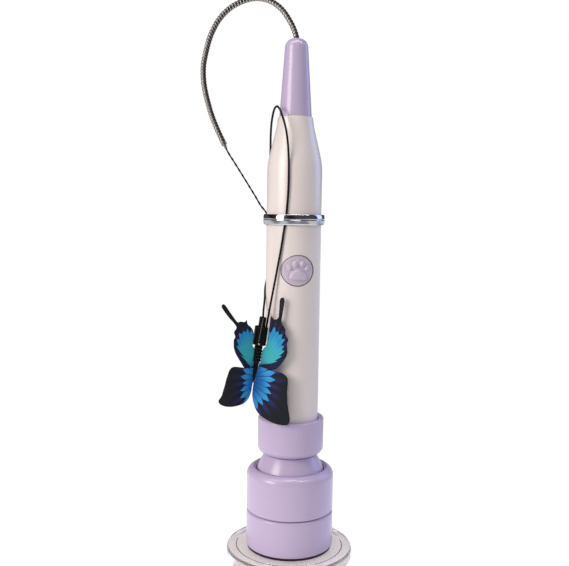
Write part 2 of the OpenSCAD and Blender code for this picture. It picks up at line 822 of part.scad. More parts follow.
// Motor and gearbox
module motor() {
    color(steel) difference() {
        union() {
            post(motor_r, z_motor0, z_case0);
            post(motor_boss_r, z_motor0 - disc_t / 2, z_motor0);
        }
        post(motor_shaft_r + run, z_case0 - shaft_seat, z_case0 + over);
    }
}

module motor_pinion() {
    color(brass) {
        post(motor_shaft_r, z_case0 - shaft_seat + slip, z_stage1 + gear_t);
        translate([0, 0, z_stage1]) linear_extrude(height = gear_t) gear_outline(small_teeth);
    }
}

module gear_case() {
    color(nylon) difference() {
        post(case_r, z_case0, z_ledge - lid_t);
        post(case_r - case_wall, z_case0 + case_wall, z_ledge);
        post(motor_shaft_r + free, z_case0 - over, z_ledge);
        translate([gear_dist, 0, 0]) post(gear_pin_r + run, z_case0 - over, z_ledge);
    }
}

module gear_lid() {
    color(nylon) difference() {
        post(case_r, z_ledge - lid_t, z_ledge);
        post(shaft_r + run, z_ledge - lid_t - over, z_ledge + over);
        translate([gear_dist, 0, 0]) post(gear_pin_r + run, z_ledge - lid_t - over, z_ledge + over);
    }
}

module gear_pin() {
    color(steel) translate([gear_dist, 0, 0]) post(gear_pin_r, z_case0, z_ledge);
}

module compound_gear() {
    color(nylon) translate([gear_dist, 0, 0]) difference() {
        union() {
            translate([0, 0, z_stage1]) rotate([0, 0, 180 + 180 / large_teeth])
                linear_extrude(height = gear_t) gear_outline(large_teeth);
            translate([0, 0, z_stage1 + gear_t - slip]) rotate([0, 0, 180])
                linear_extrude(height = z_stage2 - z_stage1 + slip + pinion_end) gear_outline(small_teeth);
        }
        post(gear_pin_r + run, z_stage1 - over, z_ledge);
    }
}

module output_gear() {
    color(nylon) difference() {
        translate([0, 0, z_stage2]) rotate([0, 0, 180 / large_teeth])
            linear_extrude(height = gear_t) gear_outline(large_teeth);
        post(shaft_r, z_stage2 - over, z_ledge);
    }
}

module drive_shaft() {
    color(steel) post(shaft_r, z_stage2 - shaft_foot, z_spindle0 + shaft_in);
}

// Shoulder and nose
function ogee(t) = 0.5 * t + 0.5 * t * t * (3 - 2 * t);
function shoulder_r(z) =
    let (t = (z - z_ring - shoulder_straight) / (shoulder_h - shoulder_straight))
    barrel_r - (barrel_r - shoulder_top_r) * ogee(max(0, min(1, t)));
function shoulder_in_r(z) = max(case_r + slip, min(shoulder_in, shoulder_r(z) - shoulder_wall));
module shoulder() {
    z_curve0 = z_ring + shoulder_straight;
    step = (z_shoulder1 - z_curve0) / curve_steps;
    z_in = [for (k = [curve_steps : -1 : 0]) z_curve0 + k * step];
    color(pearl) turned(concat([[shoulder_in, z_ring - spigot_h * 2], [spigot_r, z_ring - spigot_h * 2],
        [spigot_r, z_ring], [groove_r, z_ring], [groove_r, z_ring + groove_h / 2],
        [barrel_r, z_ring + groove_h / 2]],
        [for (k = [0 : curve_steps]) [shoulder_r(z_curve0 + k * step), z_curve0 + k * step]],
        [[ledge_r, z_shoulder1], [ledge_r, z_ledge], [shoulder_in_r(z_ledge), z_ledge]],
        [for (z = z_in) if (z < z_ledge - 1) [shoulder_in_r(z), z]]));
}

function ring_edge(a) = [bead_r0 + (ring_out - bead_r0) * cos(a), z_ring + ring_h / 2 * sin(a)];

module guide_ring() {
    color(chrome) {
        turned(concat([[ring_in, z_ring - ring_h / 2 + bead_foot]], [for (a = [-85 : 15 : -25]) ring_edge(a)],
            [ring_edge(-ring_line_turn), [ring_out - ring_line_depth, z_ring], ring_edge(ring_line_turn)],
            [for (a = [25 : 15 : 85]) ring_edge(a)], [[ring_in, z_ring + ring_h / 2 - bead_foot]]));
        on_ring(lug_count, 0, lug_first) intersection() {
            tube(ring_in + ring_wall / 2, groove_r + slip, z_ring - lug_h / 2, z_ring + lug_h / 2);
            linear_extrude(height = 2 * z_ring)
                polygon([[0, 0], ring_out * [cos(lug_turn / 2), -sin(lug_turn / 2)],
                    ring_out * [1.05, 0], ring_out * [cos(lug_turn / 2), sin(lug_turn / 2)]]);
        }
    }
}

module nose() {
    z_spigot0 = z_shoulder1 - nose_spigot_h;
    color(lilac) turned(concat([[nose_foot_bore, z_spigot0], [nose_spigot_r, z_spigot0],
        [nose_spigot_r, z_shoulder1], [nose_r, z_shoulder1]],
        arc(nose_tip_r - nose_round, z_tip - nose_round, nose_round, 0, tip_arc, 8),
        [[tip_hole_r, z_nose_bore1], [nose_bore, z_nose_bore1],
        [nose_bore, z_bush0], [nose_foot_bore, z_bush0 - bore_step]]));
}

module nose_bush() {
    color(brass) tube(nose_bore, bush_in, z_bush0, z_bush0 + bush_h);
}

// Turning arm
module spindle() {
    color(nylon) difference() {
        post(spindle_r, z_spindle0, z_spindle1);
        post(shaft_r, z_spindle0 - over, z_spindle0 + shaft_in);
        post(spring_d / 2 + run, z_spindle1 - socket_depth, z_spindle1 + over);
        translate([0, 0, z_spindle1 - grub_drop]) front_bar(grub_r + run, 0, 2 * spindle_r);
    }
}

module grub_screw() {
    color(steel) translate([0, 0, z_spindle1 - grub_drop])
        front_bar(grub_r, spring_d / 2 + run, spindle_r - slip);
}

arm_line = open_curve([for (p = arm_route) [p[0], 0, p[1] + z_tip]], arm_steps);
arm_run = run_length(arm_line);
arm_len = arm_run[len(arm_run) - 1];
arm_x = [for (i = [0 : len(arm_line) - 1]) [arm_run[i], arm_line[i][0]]];
arm_z = [for (i = [0 : len(arm_line) - 1]) [arm_run[i], arm_line[i][2]]];
function arm_at(s) = [lookup(s, arm_x), 0, lookup(s, arm_z)];
function arm_dir(s) = unit(arm_at(min(s + 1, arm_len)) - arm_at(max(s - 1, 0)));
function arm_out(s, a) = let (t = arm_dir(s)) cos(a) * [-t[2], 0, t[0]] + sin(a) * [0, 1, 0];
curls = floor((arm_len - 2 * spring_wire) / spring_pitch);
curl_turn = 360 / curl_rings;
curl_places = [for (i = [0 : curls * curl_rings])
    let (s = spring_wire + i * spring_pitch / curl_rings) [s, i * curl_turn]];
curl_line = concat(
    [arm_at(0) + coil_mid * arm_out(0, 0)],
    [for (q = curl_places) arm_at(q[0]) + coil_mid * arm_out(q[0], q[1])],
    [arm_at(arm_len) + coil_mid * arm_out(arm_len, 0)]);
curl_gap = min([for (i = [1 : len(curl_line) - curl_rings - 4], k = [-2 : 2])
    norm(curl_line[i] - curl_line[i + curl_rings + k])]) - spring_wire;
echo(curls = curls, spring_least_gap = curl_gap, arm_length = arm_len);

module spring_arm() {
    n = len(curl_line);
    color(steel) skin([for (i = [0 : n - 1])
        let (q = curl_places[max(0, min(i - 1, len(curl_places) - 1))],
            t = i == 0 ? arm_dir(0) : i == n - 1 ? arm_dir(arm_len) : heading(curl_line, i),
            a = arm_out(q[0], q[1]), u = unit(a - (a * t) * t), v = cross(t, u))
        [for (k = [0 : wire_sides - 1])
            let (b = 360 * k / wire_sides)
            curl_line[i] + spring_wire / 2 * (cos(b) * u - sin(b) * v)]]);
}

// The black wire inside the spring holds its arch.
module arm_core() {
    core_len = arm_len - ferrule_in - slip;
    color(black) skin([for (i = [0 : core_rings])
        let (s = core_len * i / core_rings)
        [for (k = [0 : wire_sides - 1]) arm_at(s) + wire_d / 2 * arm_out(s, 360 * k / wire_sides)]]);
}

module end_ferrule() {
    d = arm_dir(arm_len);
    turn = atan2(d[0], d[2]);
    color(steel) translate(arm_at(arm_len)) rotate([0, turn, 0]) difference() {
        union() {
            cylinder(r = spring_d / 2, h = ferrule_t);
            translate([0, 0, -ferrule_in])
                cylinder(r = coil_mid - spring_wire / 2 - slip, h = ferrule_in + ferrule_t);
            translate([0, 0, ferrule_t]) cylinder(r = wire_d / 2 + ferrule_wall, h = ferrule_lip);
        }
        translate([0, 0, ferrule_t / 3]) cylinder(r = wire_d / 2 + run, h = ferrule_in);
    }
}

module tether_line() {
    color(black) cord(lifted(line_route, z_ring), wire_d);
}

module line_eye() {
    last = line_route[len(line_route) - 1];
    color(steel) translate([0, 0, z_ring]) difference() {
        union() {
            translate(eye_mid) post(eye_bore_r + eye_wall, -eye_t / 2, eye_t / 2);
            translate(last - [0, 0, sleeve_h - sleeve_in]) cylinder(r = sleeve_r, h = sleeve_h);
        }
        translate(eye_mid - [0, 0, sleeve_h]) cylinder(r = eye_bore_r, h = 2 * sleeve_h);
        translate(last) cylinder(r = wire_d / 2 + 2.5 * slip, h = sleeve_h);
    }
}

module butterfly_loop() {
    color(black) cord(lifted(loop_route, z_ring), wire_d);
}

// Butterfly and its clip
module clip() {
    color(black) at_butterfly() difference() {
        turned([[0, -clip_foot], [clip_r - clip_edge, -clip_foot], [clip_r, clip_edge - clip_foot],
            [clip_top_r, clip_step - clip_round], [clip_top_r - clip_round, clip_step], [collar_r, clip_step],
            [collar_r, clip_top - clip_edge], [collar_r - clip_edge, clip_top], [0, clip_top]]);
        translate([-clip_r - over, -slot_w / 2, -clip_foot - over])
            cube([2 * (clip_r + over), slot_w, slot_h + over]);
        front_bar(pin_r + run, -2 * clip_r, 2 * clip_r);
    }
}

module clip_pin() {
    color(steel) at_butterfly() front_bar(pin_r, pin_in - clip_r, clip_r - pin_in);
}

module butterfly_body() {
    rib_h = abdomen_h / ribs;
    rib_shape = [0.06, 0.3, 0.7, 0.94];
    profile = concat(
        [[0, z_body0]],
        [for (k = [0 : ribs - 1], j = [0 : 3])
            let (grow = 0.8 + 0.2 * sin(180 * (k + 0.5) / ribs))
            [(abdomen_r - (j == 0 || j == 3 ? rib_depth : 0)) * grow, z_body0 - rib_h * (k + rib_shape[j])]],
        [[thorax_r * 0.9, z_abdomen1], [thorax_r, z_abdomen1 - thorax_top],
        [thorax_r, z_abdomen1 - thorax_end], [head_r * 0.8, z_abdomen1 - throat]],
        arc(0, head_r - body_len, head_r, 40, -90, 8));
    color(black) at_butterfly() {
        turned(profile);
        difference() {
            union() {
                front_bar(tab_r, -tab_t / 2, tab_t / 2);
                translate([-tab_r, -tab_t / 2, z_body0 - tab_foot])
                    cube([2 * tab_r, tab_t, tab_foot - z_body0]);
            }
            front_bar(pin_r + run, -tab_t, tab_t);
        }
    }
}

// A flat film in its wing's plane; layer 0 lies behind the hinge plane and layer 1 in front of it.
module film(outline, layer) {
    difference() {
        translate([0, layer == 0 ? film_t : 0, 0]) rotate([90, 0, 0]) linear_extrude(height = film_t)
            polygon([for (q = closed_curve(outline, outline_steps)) [q[0], -q[1]]]);
        post(hind_root, z_abdomen1, 0);
        post(fore_root, -body_len - root_gap, 0);
    }
}

// Room that the clip takes beside the wings as the butterfly swings on its pin
module clip_room() {
    at_butterfly() for (a = [-swing_left, -swing_left / 2, 0, swing_right])
        rotate([0, a, 0]) post(clip_r + free, -clip_foot - free, clip_top);
}

module left_side() {
    at_butterfly() rotate([0, 0, left_lift]) mirror([1, 0, 0]) children();
}

module right_side() {
    at_butterfly() rotate([0, 0, -right_lift]) children();
}

module left_fore_wing() {
    color(blue) left_side() film(left_fore_outline, 1);
}

module left_hind_wing() {
    color(teal) difference() {
        left_side() film(left_hind_outline, 0);
        clip_room();
    }
}

module right_fore_wing() {
    color(blue) right_side() film(right_fore_outline, 1);
}

module right_hind_wing() {
    color(teal) difference() {
        right_side() film(right_hind_outline, 0);
        clip_room();
    }
}

suction_pad();
pull_stud();
lock_ring();
base_plate();
base_screws();
base_housing();
thrust_washer();
neck();
stem_washer();
stem_screw();
wand_cup();
cup_screws();
end_cap();
bridge_contact();
cells();
cell_carrier();
top_contacts();
barrel();
chassis();
circuit_board();
board_screws();
tact_switch();
switch_plunger();
paw_button();
motor();
motor_pinion();
gear_case();
gear_lid();
gear_pin();
compound_gear();
output_gear();
drive_shaft();
shoulder();
guide_ring();
nose();
nose_bush();
spindle();
grub_screw();
spring_arm();
arm_core();
end_ferrule();
tether_line();
line_eye();
butterfly_loop();
clip();
clip_pin();
butterfly_body();
left_fore_wing();
left_hind_wing();
right_fore_wing();
right_hind_wing();
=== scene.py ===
# %% [markdown]
# # A butterfly teaser wand, dressed in Blender
# The toy is a battery wand that stands in a swivelling cup on a clear suction foot. A sprung arm
# bends over its tip, and a black wire carries a printed butterfly round the barrel. The packed
# model already holds every piece at its real size and place, in metres. This lesson keeps those
# places and gives each piece the skin that the eye expects: turned plastic with soft edges, a
# wound spring, twisted wire, chrome, clear vinyl and printed film.

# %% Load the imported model
import math

import bmesh
import bpy
import numpy as np
from mathutils import Matrix, Vector, geometry


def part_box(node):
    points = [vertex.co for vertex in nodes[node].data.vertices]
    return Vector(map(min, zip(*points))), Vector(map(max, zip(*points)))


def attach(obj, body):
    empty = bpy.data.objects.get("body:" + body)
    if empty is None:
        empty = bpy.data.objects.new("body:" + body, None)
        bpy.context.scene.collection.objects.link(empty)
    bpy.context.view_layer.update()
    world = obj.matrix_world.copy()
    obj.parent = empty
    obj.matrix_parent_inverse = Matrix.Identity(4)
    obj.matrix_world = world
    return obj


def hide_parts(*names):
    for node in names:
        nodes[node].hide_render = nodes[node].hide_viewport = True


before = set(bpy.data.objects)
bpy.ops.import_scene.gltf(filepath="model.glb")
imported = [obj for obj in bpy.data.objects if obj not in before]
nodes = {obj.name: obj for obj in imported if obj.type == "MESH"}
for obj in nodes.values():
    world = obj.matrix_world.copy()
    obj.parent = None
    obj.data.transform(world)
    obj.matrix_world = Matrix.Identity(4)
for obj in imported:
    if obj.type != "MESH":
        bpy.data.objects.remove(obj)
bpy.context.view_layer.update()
MM = 0.001

# %% [markdown]
# ## The camera
# The photograph was taken from about 43 cm away, a little above the middle of the wand and
# looking slightly down. A camera can be placed by eye, or solved from a few lengths that are
# known in the picture. Solving is surer: the focal length in pixels, the distance and the tilt
# below put the pad, the ring and the tip where the photograph has them.

# %% Camera
PHOTO_W = 569
FOCAL_PX = 778.6
CAMERA_AT = (-0.0047, -0.43, 0.1945)
LOOK_DOWN = math.radians(5.27)
ROLL = math.radians(0.844)

camera = bpy.data.objects.new("camera", bpy.data.cameras.new("camera"))
bpy.context.scene.collection.objects.link(camera)
camera.data.sensor_width = 36
camera.data.lens = camera.data.sensor_width * FOCAL_PX / PHOTO_W
camera.matrix_world = (
    Matrix.Translation(CAMERA_AT)
    @ Matrix.Rotation(math.radians(90) - LOOK_DOWN, 4, "X")
    @ Matrix.Rotation(ROLL, 4, "Z")
)
bpy.context.scene.camera = camera
bpy.context.scene.view_settings.view_transform = "Standard"
print("lens in mm:", round(camera.data.lens, 1))

# %% [markdown]
# ## Colours and shader nodes
# Colours are written as the hex values that a colour picker shows, and Blender's sockets want
# linear light, so one function turns one into the other. A second function adds any shader
# node with its settings and its links, which keeps each material a short list of nodes. Object
# coordinates are in metres here, so a pattern's scale follows from its size in millimetres.


# %% Colour and node helpers
def linear(hex_colour):
    """The linear RGBA of an sRGB hex colour."""
    channels = [int(hex_colour[i : i + 2], 16) / 255 for i in (1, 3, 5)]
    return tuple(c / 12.92 if c <= 0.04045 else ((c + 0.055) / 1.055) ** 2.4 for c in channels) + (1.0,)


def per_mm(size_mm):
    """The scale of a texture whose features are about this size."""
    return 1 / (size_mm * MM)


def add_node(tree, kind, settings=None, links=None):
    """Adds a node; a key is a socket's name or number, a property, or stops for a colour ramp."""
    node = tree.nodes.new(kind)
    for key, value in (settings or {}).items():
        if key == "stops":
            ramp = node.color_ramp.elements
            while len(ramp) < len(value):
                ramp.new(0.5)
            for element, (place, colour) in zip(ramp, value):
                element.position = place
                element.color = linear(colour)
        elif isinstance(key, int) or key in node.inputs:
            node.inputs[key].default_value = value
        else:
            setattr(node, key, value)
    for key, source in (links or {}).items():
        tree.links.new(source, node.inputs[key])
    return node


def new_finish(name):
    """An empty material."""
    finish = bpy.data.materials.new(name)
    finish.use_nodes = True
    finish.node_tree.nodes.clear()
    return finish


# The colour sockets of a Mix node share their names, so they go by number.
MIX_A, MIX_B, MIX_OUT = 6, 7, 2

# %% [markdown]
# ## Moulded plastic
# The lilac and pearl shells are injection-moulded ABS: even in colour, with faint clouds where
# the melt flowed, and a satin skin from the spark-eroded mould. A flat colour would look like
# paint, so a wide noise shifts colour and gloss by a few percent, and a fine one gives the skin
# its tooth. The tooth of the real mould is about 0.05 mm; it is drawn coarser so that it shows.

# %% Moulded plastic
ABS_IOR = 1.53
CLOUD_MM = 22
# Most of a noise lies in this span, and over it the gloss shifts by so much either way.
NOISE_SPAN = {"From Min": 0.3, "From Max": 0.7}
GLOSS_SHIFT, TOOTH_STRENGTH = 0.02, 0.5


def moulded_plastic(name, colour, clouded, roughness, grain_mm, grain_depth_mm, **sockets):
    """Moulded plastic with flow clouds and a fine mould texture; sockets are set on the shader."""
    finish = new_finish(name)
    tree = finish.node_tree
    place = add_node(tree, "ShaderNodeTexCoord").outputs["Object"]
    clouds, grain = (
        add_node(
            tree, "ShaderNodeTexNoise", {"Scale": per_mm(size), "Detail": detail}, {"Vector": place}
        ).outputs["Fac"]
        for size, detail in ((CLOUD_MM, 3), (grain_mm, 2))
    )
    tint = add_node(
        tree,
        "ShaderNodeMix",
        {"data_type": "RGBA", MIX_A: linear(colour), MIX_B: linear(clouded)},
        {0: clouds},
    )
    gloss = add_node(
        tree,
        "ShaderNodeMapRange",
        {**NOISE_SPAN, "To Min": roughness - GLOSS_SHIFT, "To Max": roughness + GLOSS_SHIFT},
        {"Value": clouds},
    )
    tooth = add_node(
        tree,
        "ShaderNodeBump",
        {"Strength": TOOTH_STRENGTH, "Distance": grain_depth_mm * MM},
        {"Height": grain},
    )
    shader = add_node(
        tree,
        "ShaderNodeBsdfPrincipled",
        {"IOR": ABS_IOR, **sockets},
        {
            "Base Color": tint.outputs[MIX_OUT],
            "Roughness": gloss.outputs["Result"],
            "Normal": tooth.outputs["Normal"],
        },
    )
    add_node(tree, "ShaderNodeOutputMaterial", {}, {"Surface": shader.outputs["BSDF"]})
    return finish


# Satin lilac: pastel pigment, soft highlight.
lilac_abs = moulded_plastic("lilac_satin_abs", "#C9B8D7", "#C5B3D4", 0.25, 0.5, 0.005)
# The button: the same plastic from a greyer batch.
button_abs = moulded_plastic("grey_lilac_abs", "#D4C6D8", "#D0C1D4", 0.25, 0.5, 0.005)
# Pearl white: a warm pink cast under a thin clear coat.
pearl_abs = moulded_plastic(
    "pearl_gloss_abs", "#F1E6E1", "#EFE3E2", 0.3, 0.6, 0.005, **{"Coat Weight": 0.2, "Coat Roughness": 0.28}
)
# Black acetal and rubber: deep black with a narrow, oily highlight.
BLACK_GLOSS = {"Specular IOR Level": 0.14}
black_acetal = moulded_plastic("black_acetal", "#0C0C0E", "#111113", 0.24, 0.4, 0.006, **BLACK_GLOSS)
black_rubber = moulded_plastic(
    "black_moulded_rubber", "#0B0B0D", "#101012", 0.24, 0.35, 0.006, **{"Specular IOR Level": 0.1}
)
# Painted highlight: the black strand that crosses the clip, coloured grey all along to stand for its light
# line.
painted_highlight_grey = moulded_plastic("grey_painted_highlight_line", "#57534F", "#4C4845", 0.25, 0.3, 0.004)
# Painted shade: a dark plum ring, almost without shine, set under the lock ring where its foot casts shade.
shade_ring_rubber = moulded_plastic("plum_painted_shade_rubber", "#2E232D", "#352934", 0.5, 0.4, 0.006, **BLACK_GLOSS)
# Natural nylon: milky, a little yellow, and duller than the shells.
natural_nylon = moulded_plastic("natural_nylon", "#ECE8DC", "#E4DFCF", 0.45, 0.5, 0.01)
# Circuit board: glass-cloth laminate under green solder resist.
board_laminate = moulded_plastic("green_board_laminate", "#2B6B45", "#347A50", 0.4, 0.8, 0.02)
shell_plastics = (lilac_abs, button_abs, pearl_abs)
other_plastics = (black_acetal, black_rubber, painted_highlight_grey, shade_ring_rubber, natural_nylon, board_laminate)
print("plastics:", [finish.name for finish in shell_plastics + other_plastics])

# %% [markdown]
# ## Metals
# Chrome plate, zinc plate, drawn spring wire and stamped brass differ in colour and in how far
# they blur a reflection. A metal's look is almost all reflection, so the shader is fully
# metallic with the default IOR, and a bent noise stands for drawing lines or polishing haze.

# %% Metals
LINE_STRENGTH, LINE_BEND = 0.4, 0.6
# The share by which haze makes a metal duller or brighter.
HAZE = 0.3


def worked_metal(name, colour, hazed, roughness, line_mm, line_depth_mm, black=None):
    """Metal with fine lines left by drawing, rolling or polishing, darkened towards black as painted shade
    where its shade attribute is one.
    """
    finish = new_finish(name)
    tree = finish.node_tree
    place = add_node(tree, "ShaderNodeTexCoord").outputs["Object"]
    lines = add_node(
        tree,
        "ShaderNodeTexNoise",
        {"Scale": per_mm(line_mm), "Detail": 4, "Distortion": LINE_BEND},
        {"Vector": place},
    ).outputs["Fac"]
    tint = add_node(
        tree,
        "ShaderNodeMix",
        {"data_type": "RGBA", MIX_A: linear(colour), MIX_B: linear(hazed)},
        {0: lines},
    )
    # Painted shade: where the shade attribute is one, the colour goes to black.
    if black:
        soot = add_node(tree, "ShaderNodeAttribute", {"attribute_name": "soot"}).outputs["Fac"]
        tint = add_node(
            tree,
            "ShaderNodeMix",
            {"data_type": "RGBA", MIX_B: linear(black)},
            {0: soot, MIX_A: tint.outputs[MIX_OUT]},
        )
    haze = add_node(
        tree,
        "ShaderNodeMapRange",
        {**NOISE_SPAN, "To Min": roughness * (1 - HAZE), "To Max": roughness * (1 + HAZE)},
        {"Value": lines},
    )
    marks = add_node(
        tree,
        "ShaderNodeBump",
        {"Strength": LINE_STRENGTH, "Distance": line_depth_mm * MM},
        {"Height": lines},
    )
    shader = add_node(
        tree,
        "ShaderNodeBsdfPrincipled",
        {"Metallic": 1.0},
        {
            "Base Color": tint.outputs[MIX_OUT],
            "Roughness": haze.outputs["Result"],
            "Normal": marks.outputs["Normal"],
        },
    )
    add_node(tree, "ShaderNodeOutputMaterial", {}, {"Surface": shader.outputs["BSDF"]})
    return finish


# Chrome: the sharpest mirror on the toy.
chrome_plate = worked_metal("bright_chrome_plate", "#D6D7DA", "#CBCDD2", 0.11, 1.5, 0.002)
# Zinc: blue-grey and slightly cloudy.
zinc_steel = worked_metal("zinc_plated_steel", "#B9BCC2", "#A9ADB4", 0.3, 0.6, 0.006)
# Drawn spring wire: oil-tempered, so brownish, with painted shade on its right and upper side, away from the
# light.
spring_steel = worked_metal("drawn_spring_steel", "#B6B0AB", "#A09A95", 0.34, 0.3, 0.004, black="#45413F")
# Brass: stamped contacts and turned bushes.
contact_brass = worked_metal("stamped_brass", "#C8A860", "#B8954C", 0.28, 0.5, 0.006)
print("metals:", [m.name for m in (chrome_plate, zinc_steel, spring_steel, contact_brass)])

# %% [markdown]
# ## Wires, as swept tubes
# Two black wires leave the arm: a line that runs down under the guide ring, and a loop that
# hangs from its eye and carries the butterfly. Blender can bevel a curve, but the line here is
# two strands twisted together, which a round bevel can't show. So a tube is swept along each
# route instead, with an oval section that may turn as it goes. The route's points are the
# model's own, smoothed the same way, so the wire lies where its solid lies.


# %% Smooth lines and swept tubes
def blend_line(a, b, c, d, t):
    """A point between b and c on a smooth line through a, b, c and d."""
    return 0.5 * (2 * b + (c - a) * t + (2 * a - 5 * b + 4 * c - d) * t**2 + (3 * b - a - 3 * c + d) * t**3)


def smooth_line(points, steps, closed=False):
    """A smooth line through points, with so many steps between each two."""
    p = np.array(points, float)
    n = len(p)
    line = []
    for i in range(n if closed else n - 1):
        near = [(i + k) % n if closed else min(max(i + k, 0), n - 1) for k in (-1, 0, 1, 2)]
        line += [blend_line(*p[near], k / steps) for k in range(steps)]
    return np.array(line if closed else line + [p[-1]])


def run_of(line):
    """The distance along a line at each of its points."""
    return np.concatenate([[0], np.cumsum(np.linalg.norm(np.diff(line, axis=0), axis=1))])


# An edge that bends by more than this is shaded sharp.
SHARP_DEG = 38


def add_mesh(name, points, faces):
    """A smooth-shaded mesh object from points in metres, its normals outward."""
    mesh = bpy.data.meshes.new(name)
    mesh.from_pydata([tuple(p) for p in points], [], faces)
    shape = bmesh.new()
    shape.from_mesh(mesh)
    bmesh.ops.recalc_face_normals(shape, faces=shape.faces)
    shape.to_mesh(mesh)
    shape.free()
    mesh.shade_smooth()
    mesh.set_sharp_from_angle(angle=math.radians(SHARP_DEG))
    piece = bpy.data.objects.new(name, mesh)
    bpy.context.scene.collection.objects.link(piece)
    return piece


# A direction that no route sets out along.
SIDE_FROM = (0.83, 0.56, 0)


def swept_tube(name, line, half_wide, half_thick, sides=12, twist=0.0, across=None):
    """A closed tube of oval section along a line; twist is its turn in radians per metre.

    Where across is given, it holds the direction of the section's wide axis at each point.
    """
    heading = np.gradient(line, axis=0)
    heading /= np.linalg.norm(heading, axis=1)[:, None]
    side = np.cross(heading[0], SIDE_FROM)
    run = run_of(line)
    points, faces = [], []
    for i, (spot, ahead) in enumerate(zip(line, heading)):
        side = side if across is None else across[i]
        side = side - side.dot(ahead) * ahead
        side /= np.linalg.norm(side)
        up = np.cross(ahead, side)
        for k in range(sides):
            a = 2 * math.pi * k / sides
            wide, thick = half_wide * math.cos(a), half_thick * math.sin(a)
            turn = twist * run[i]
            x = wide * math.cos(turn) - thick * math.sin(turn)
            y = wide * math.sin(turn) + thick * math.cos(turn)
            points.append(spot + x * side + y * up)
    for i in range(len(line) - 1):
        for k in range(sides):
            a, b = i * sides + k, i * sides + (k + 1) % sides
            faces.append((a, b, b + sides, a + sides))
    faces += [tuple(range(sides))[::-1], tuple(range(len(points) - sides, len(points)))]
    return add_mesh(name, points, faces)


def dress(piece, finish, body, slot, *stands_for):
    """Gives a piece its finish and its body, and hides the nodes that it stands for; slot is not used."""
    piece.data.materials.clear()
    piece.data.materials.append(finish)
    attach(piece, body)
    if stands_for:
        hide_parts(*stands_for)
    print(piece.name, "rides on", body, "with", len(piece.data.vertices), "points")
    return piece


# %% [markdown]
# ## The black wire
# It is steel wire under a thin black nylon coat: nearly black, with a narrow highlight. On the
# line the two strands show as dark beads about 3.5 mm apart, so the oval section makes half a
# turn in that length.

# %% Line and loop
WIRE_D = 1.1
LOOP_D = 1.15
# The length of a strand's full turn, and the thickness of the two strands in parts of their width.
STRAND_MM, STRAND_FLAT = 7, 0.72
RING_Z = sum(v.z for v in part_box("guide_ring")) / 2 / MM
# Points in mm, their heights counted from the middle of the guide ring.
LINE_ROUTE = [
    (-38.8, 0, 40.6), (-37.6, 0, 38.1), (-36.3, 0.1, 35.6), (-32, 0.7, 29), (-26.9, 1.5, 21),
    (-22.1, 2.3, 13.4), (-18.6, 3.1, 7.6), (-16.4, 3.5, 4.9), (-15.25, 3.7, 3.2), (-15.15, 3.8, 1.5),
    (-14.9, 4.8, -2), (-14.6, 7, -5), (-14.1, 9.2, -7.8), (-13.7, 10.3, -10), (-13.7, 10.3, -12),
]
LOOP_ROUTE = [
    (-14.1, -13, -58), (-13.9, -13, -56.6), (-13, -13, -51), (-11.8, -13.3, -44), (-10.2, -13.7, -35),
    (-8.6, -14, -26), (-7, -14.4, -16.5), (-5.6, -14.7, -7), (-4.9, -14.9, -2.5), (-4.3, -15.1, 2.5),
    (-3.6, -15.3, 12), (-3.3, -15.4, 21), (-3.4, -15.4, 31), (-3.9, -15.3, 39), (-5, -14.6, 47),
    (-6.7, -12.8, 53.4), (-8.4, -10.4, 58), (-10.1, -8, 60.1), (-11.7, -5.2, 58.4), (-12.9, -2.5, 52.6),
    (-13.4, 0.6, 45.5), (-13.5, 4.6, 38), (-13.7, 6.7, 32), (-13.7, 7.7, 25), (-13.6, 7.8, 12),
    (-13.6, 7.8, 3), (-13.5, 8.1, -3.2), (-12.75, 10.6, -8), (-12.1, 12, -13.5), (-12.6, 11, -19.5),
    (-13.8, 8.2, -26), (-14.45, 5.9, -32.5), (-15.4, 2.3, -38), (-15.45, -2.7, -43.4), (-15.8, -7.3, -48),
    (-15.9, -11.2, -50), (-15.9, -12.8, -51.3), (-15.96, -13, -52.4),
]
WIRE_STEPS = 10

coated_wire = moulded_plastic(
    "black_nylon_coated_wire", "#0B0A0B", "#121011", 0.32, 0.3, 0.006, **BLACK_GLOSS
)
line_path = smooth_line(np.array(LINE_ROUTE) + (0, 0, RING_Z), WIRE_STEPS) * MM
loop_path = smooth_line(np.array(LOOP_ROUTE) + (0, 0, RING_Z), WIRE_STEPS) * MM
wire_r = WIRE_D / 2 * MM
tether = swept_tube(
    "tether_wire", line_path, wire_r, STRAND_FLAT * wire_r, twist=2 * math.pi / (STRAND_MM * MM)
)
loop = swept_tube("butterfly_wire", loop_path, LOOP_D / 2 * MM, LOOP_D / 2 * MM)
dress(tether, coated_wire, "arm", "black_coated_wire", "tether_line")
dress(loop, coated_wire, "arm", "black_coated_wire", "butterfly_loop")
print("wire lengths in mm:", round(run_of(line_path)[-1] / MM, 1), round(run_of(loop_path)[-1] / MM, 1))

# %% [markdown]
# ## The spring arm
# The arm is a close-wound spring over a black core wire, bent into an arch by that core. A
# spring can be a modifier on one turn, but an arch needs the turns to follow a curve. So a
# helix is walked along the arm's middle line, and the same sweep makes its wire. The wire is
# rolled flat, so neighbouring curls almost touch and the core stays hidden inside them.

# %% Spring and core
SPRING_D, WIRE_WIDE, WIRE_THICK, WIRE_SIDES, CURL_MM, CURL_POINTS = 3.1, 1.56, 0.86, 10, 1.66, 20
CORE_D, CORE_SHORT_MM, ARM_STEPS = 1.2, 4.1, 12
TIP_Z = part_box("nose")[1].z / MM
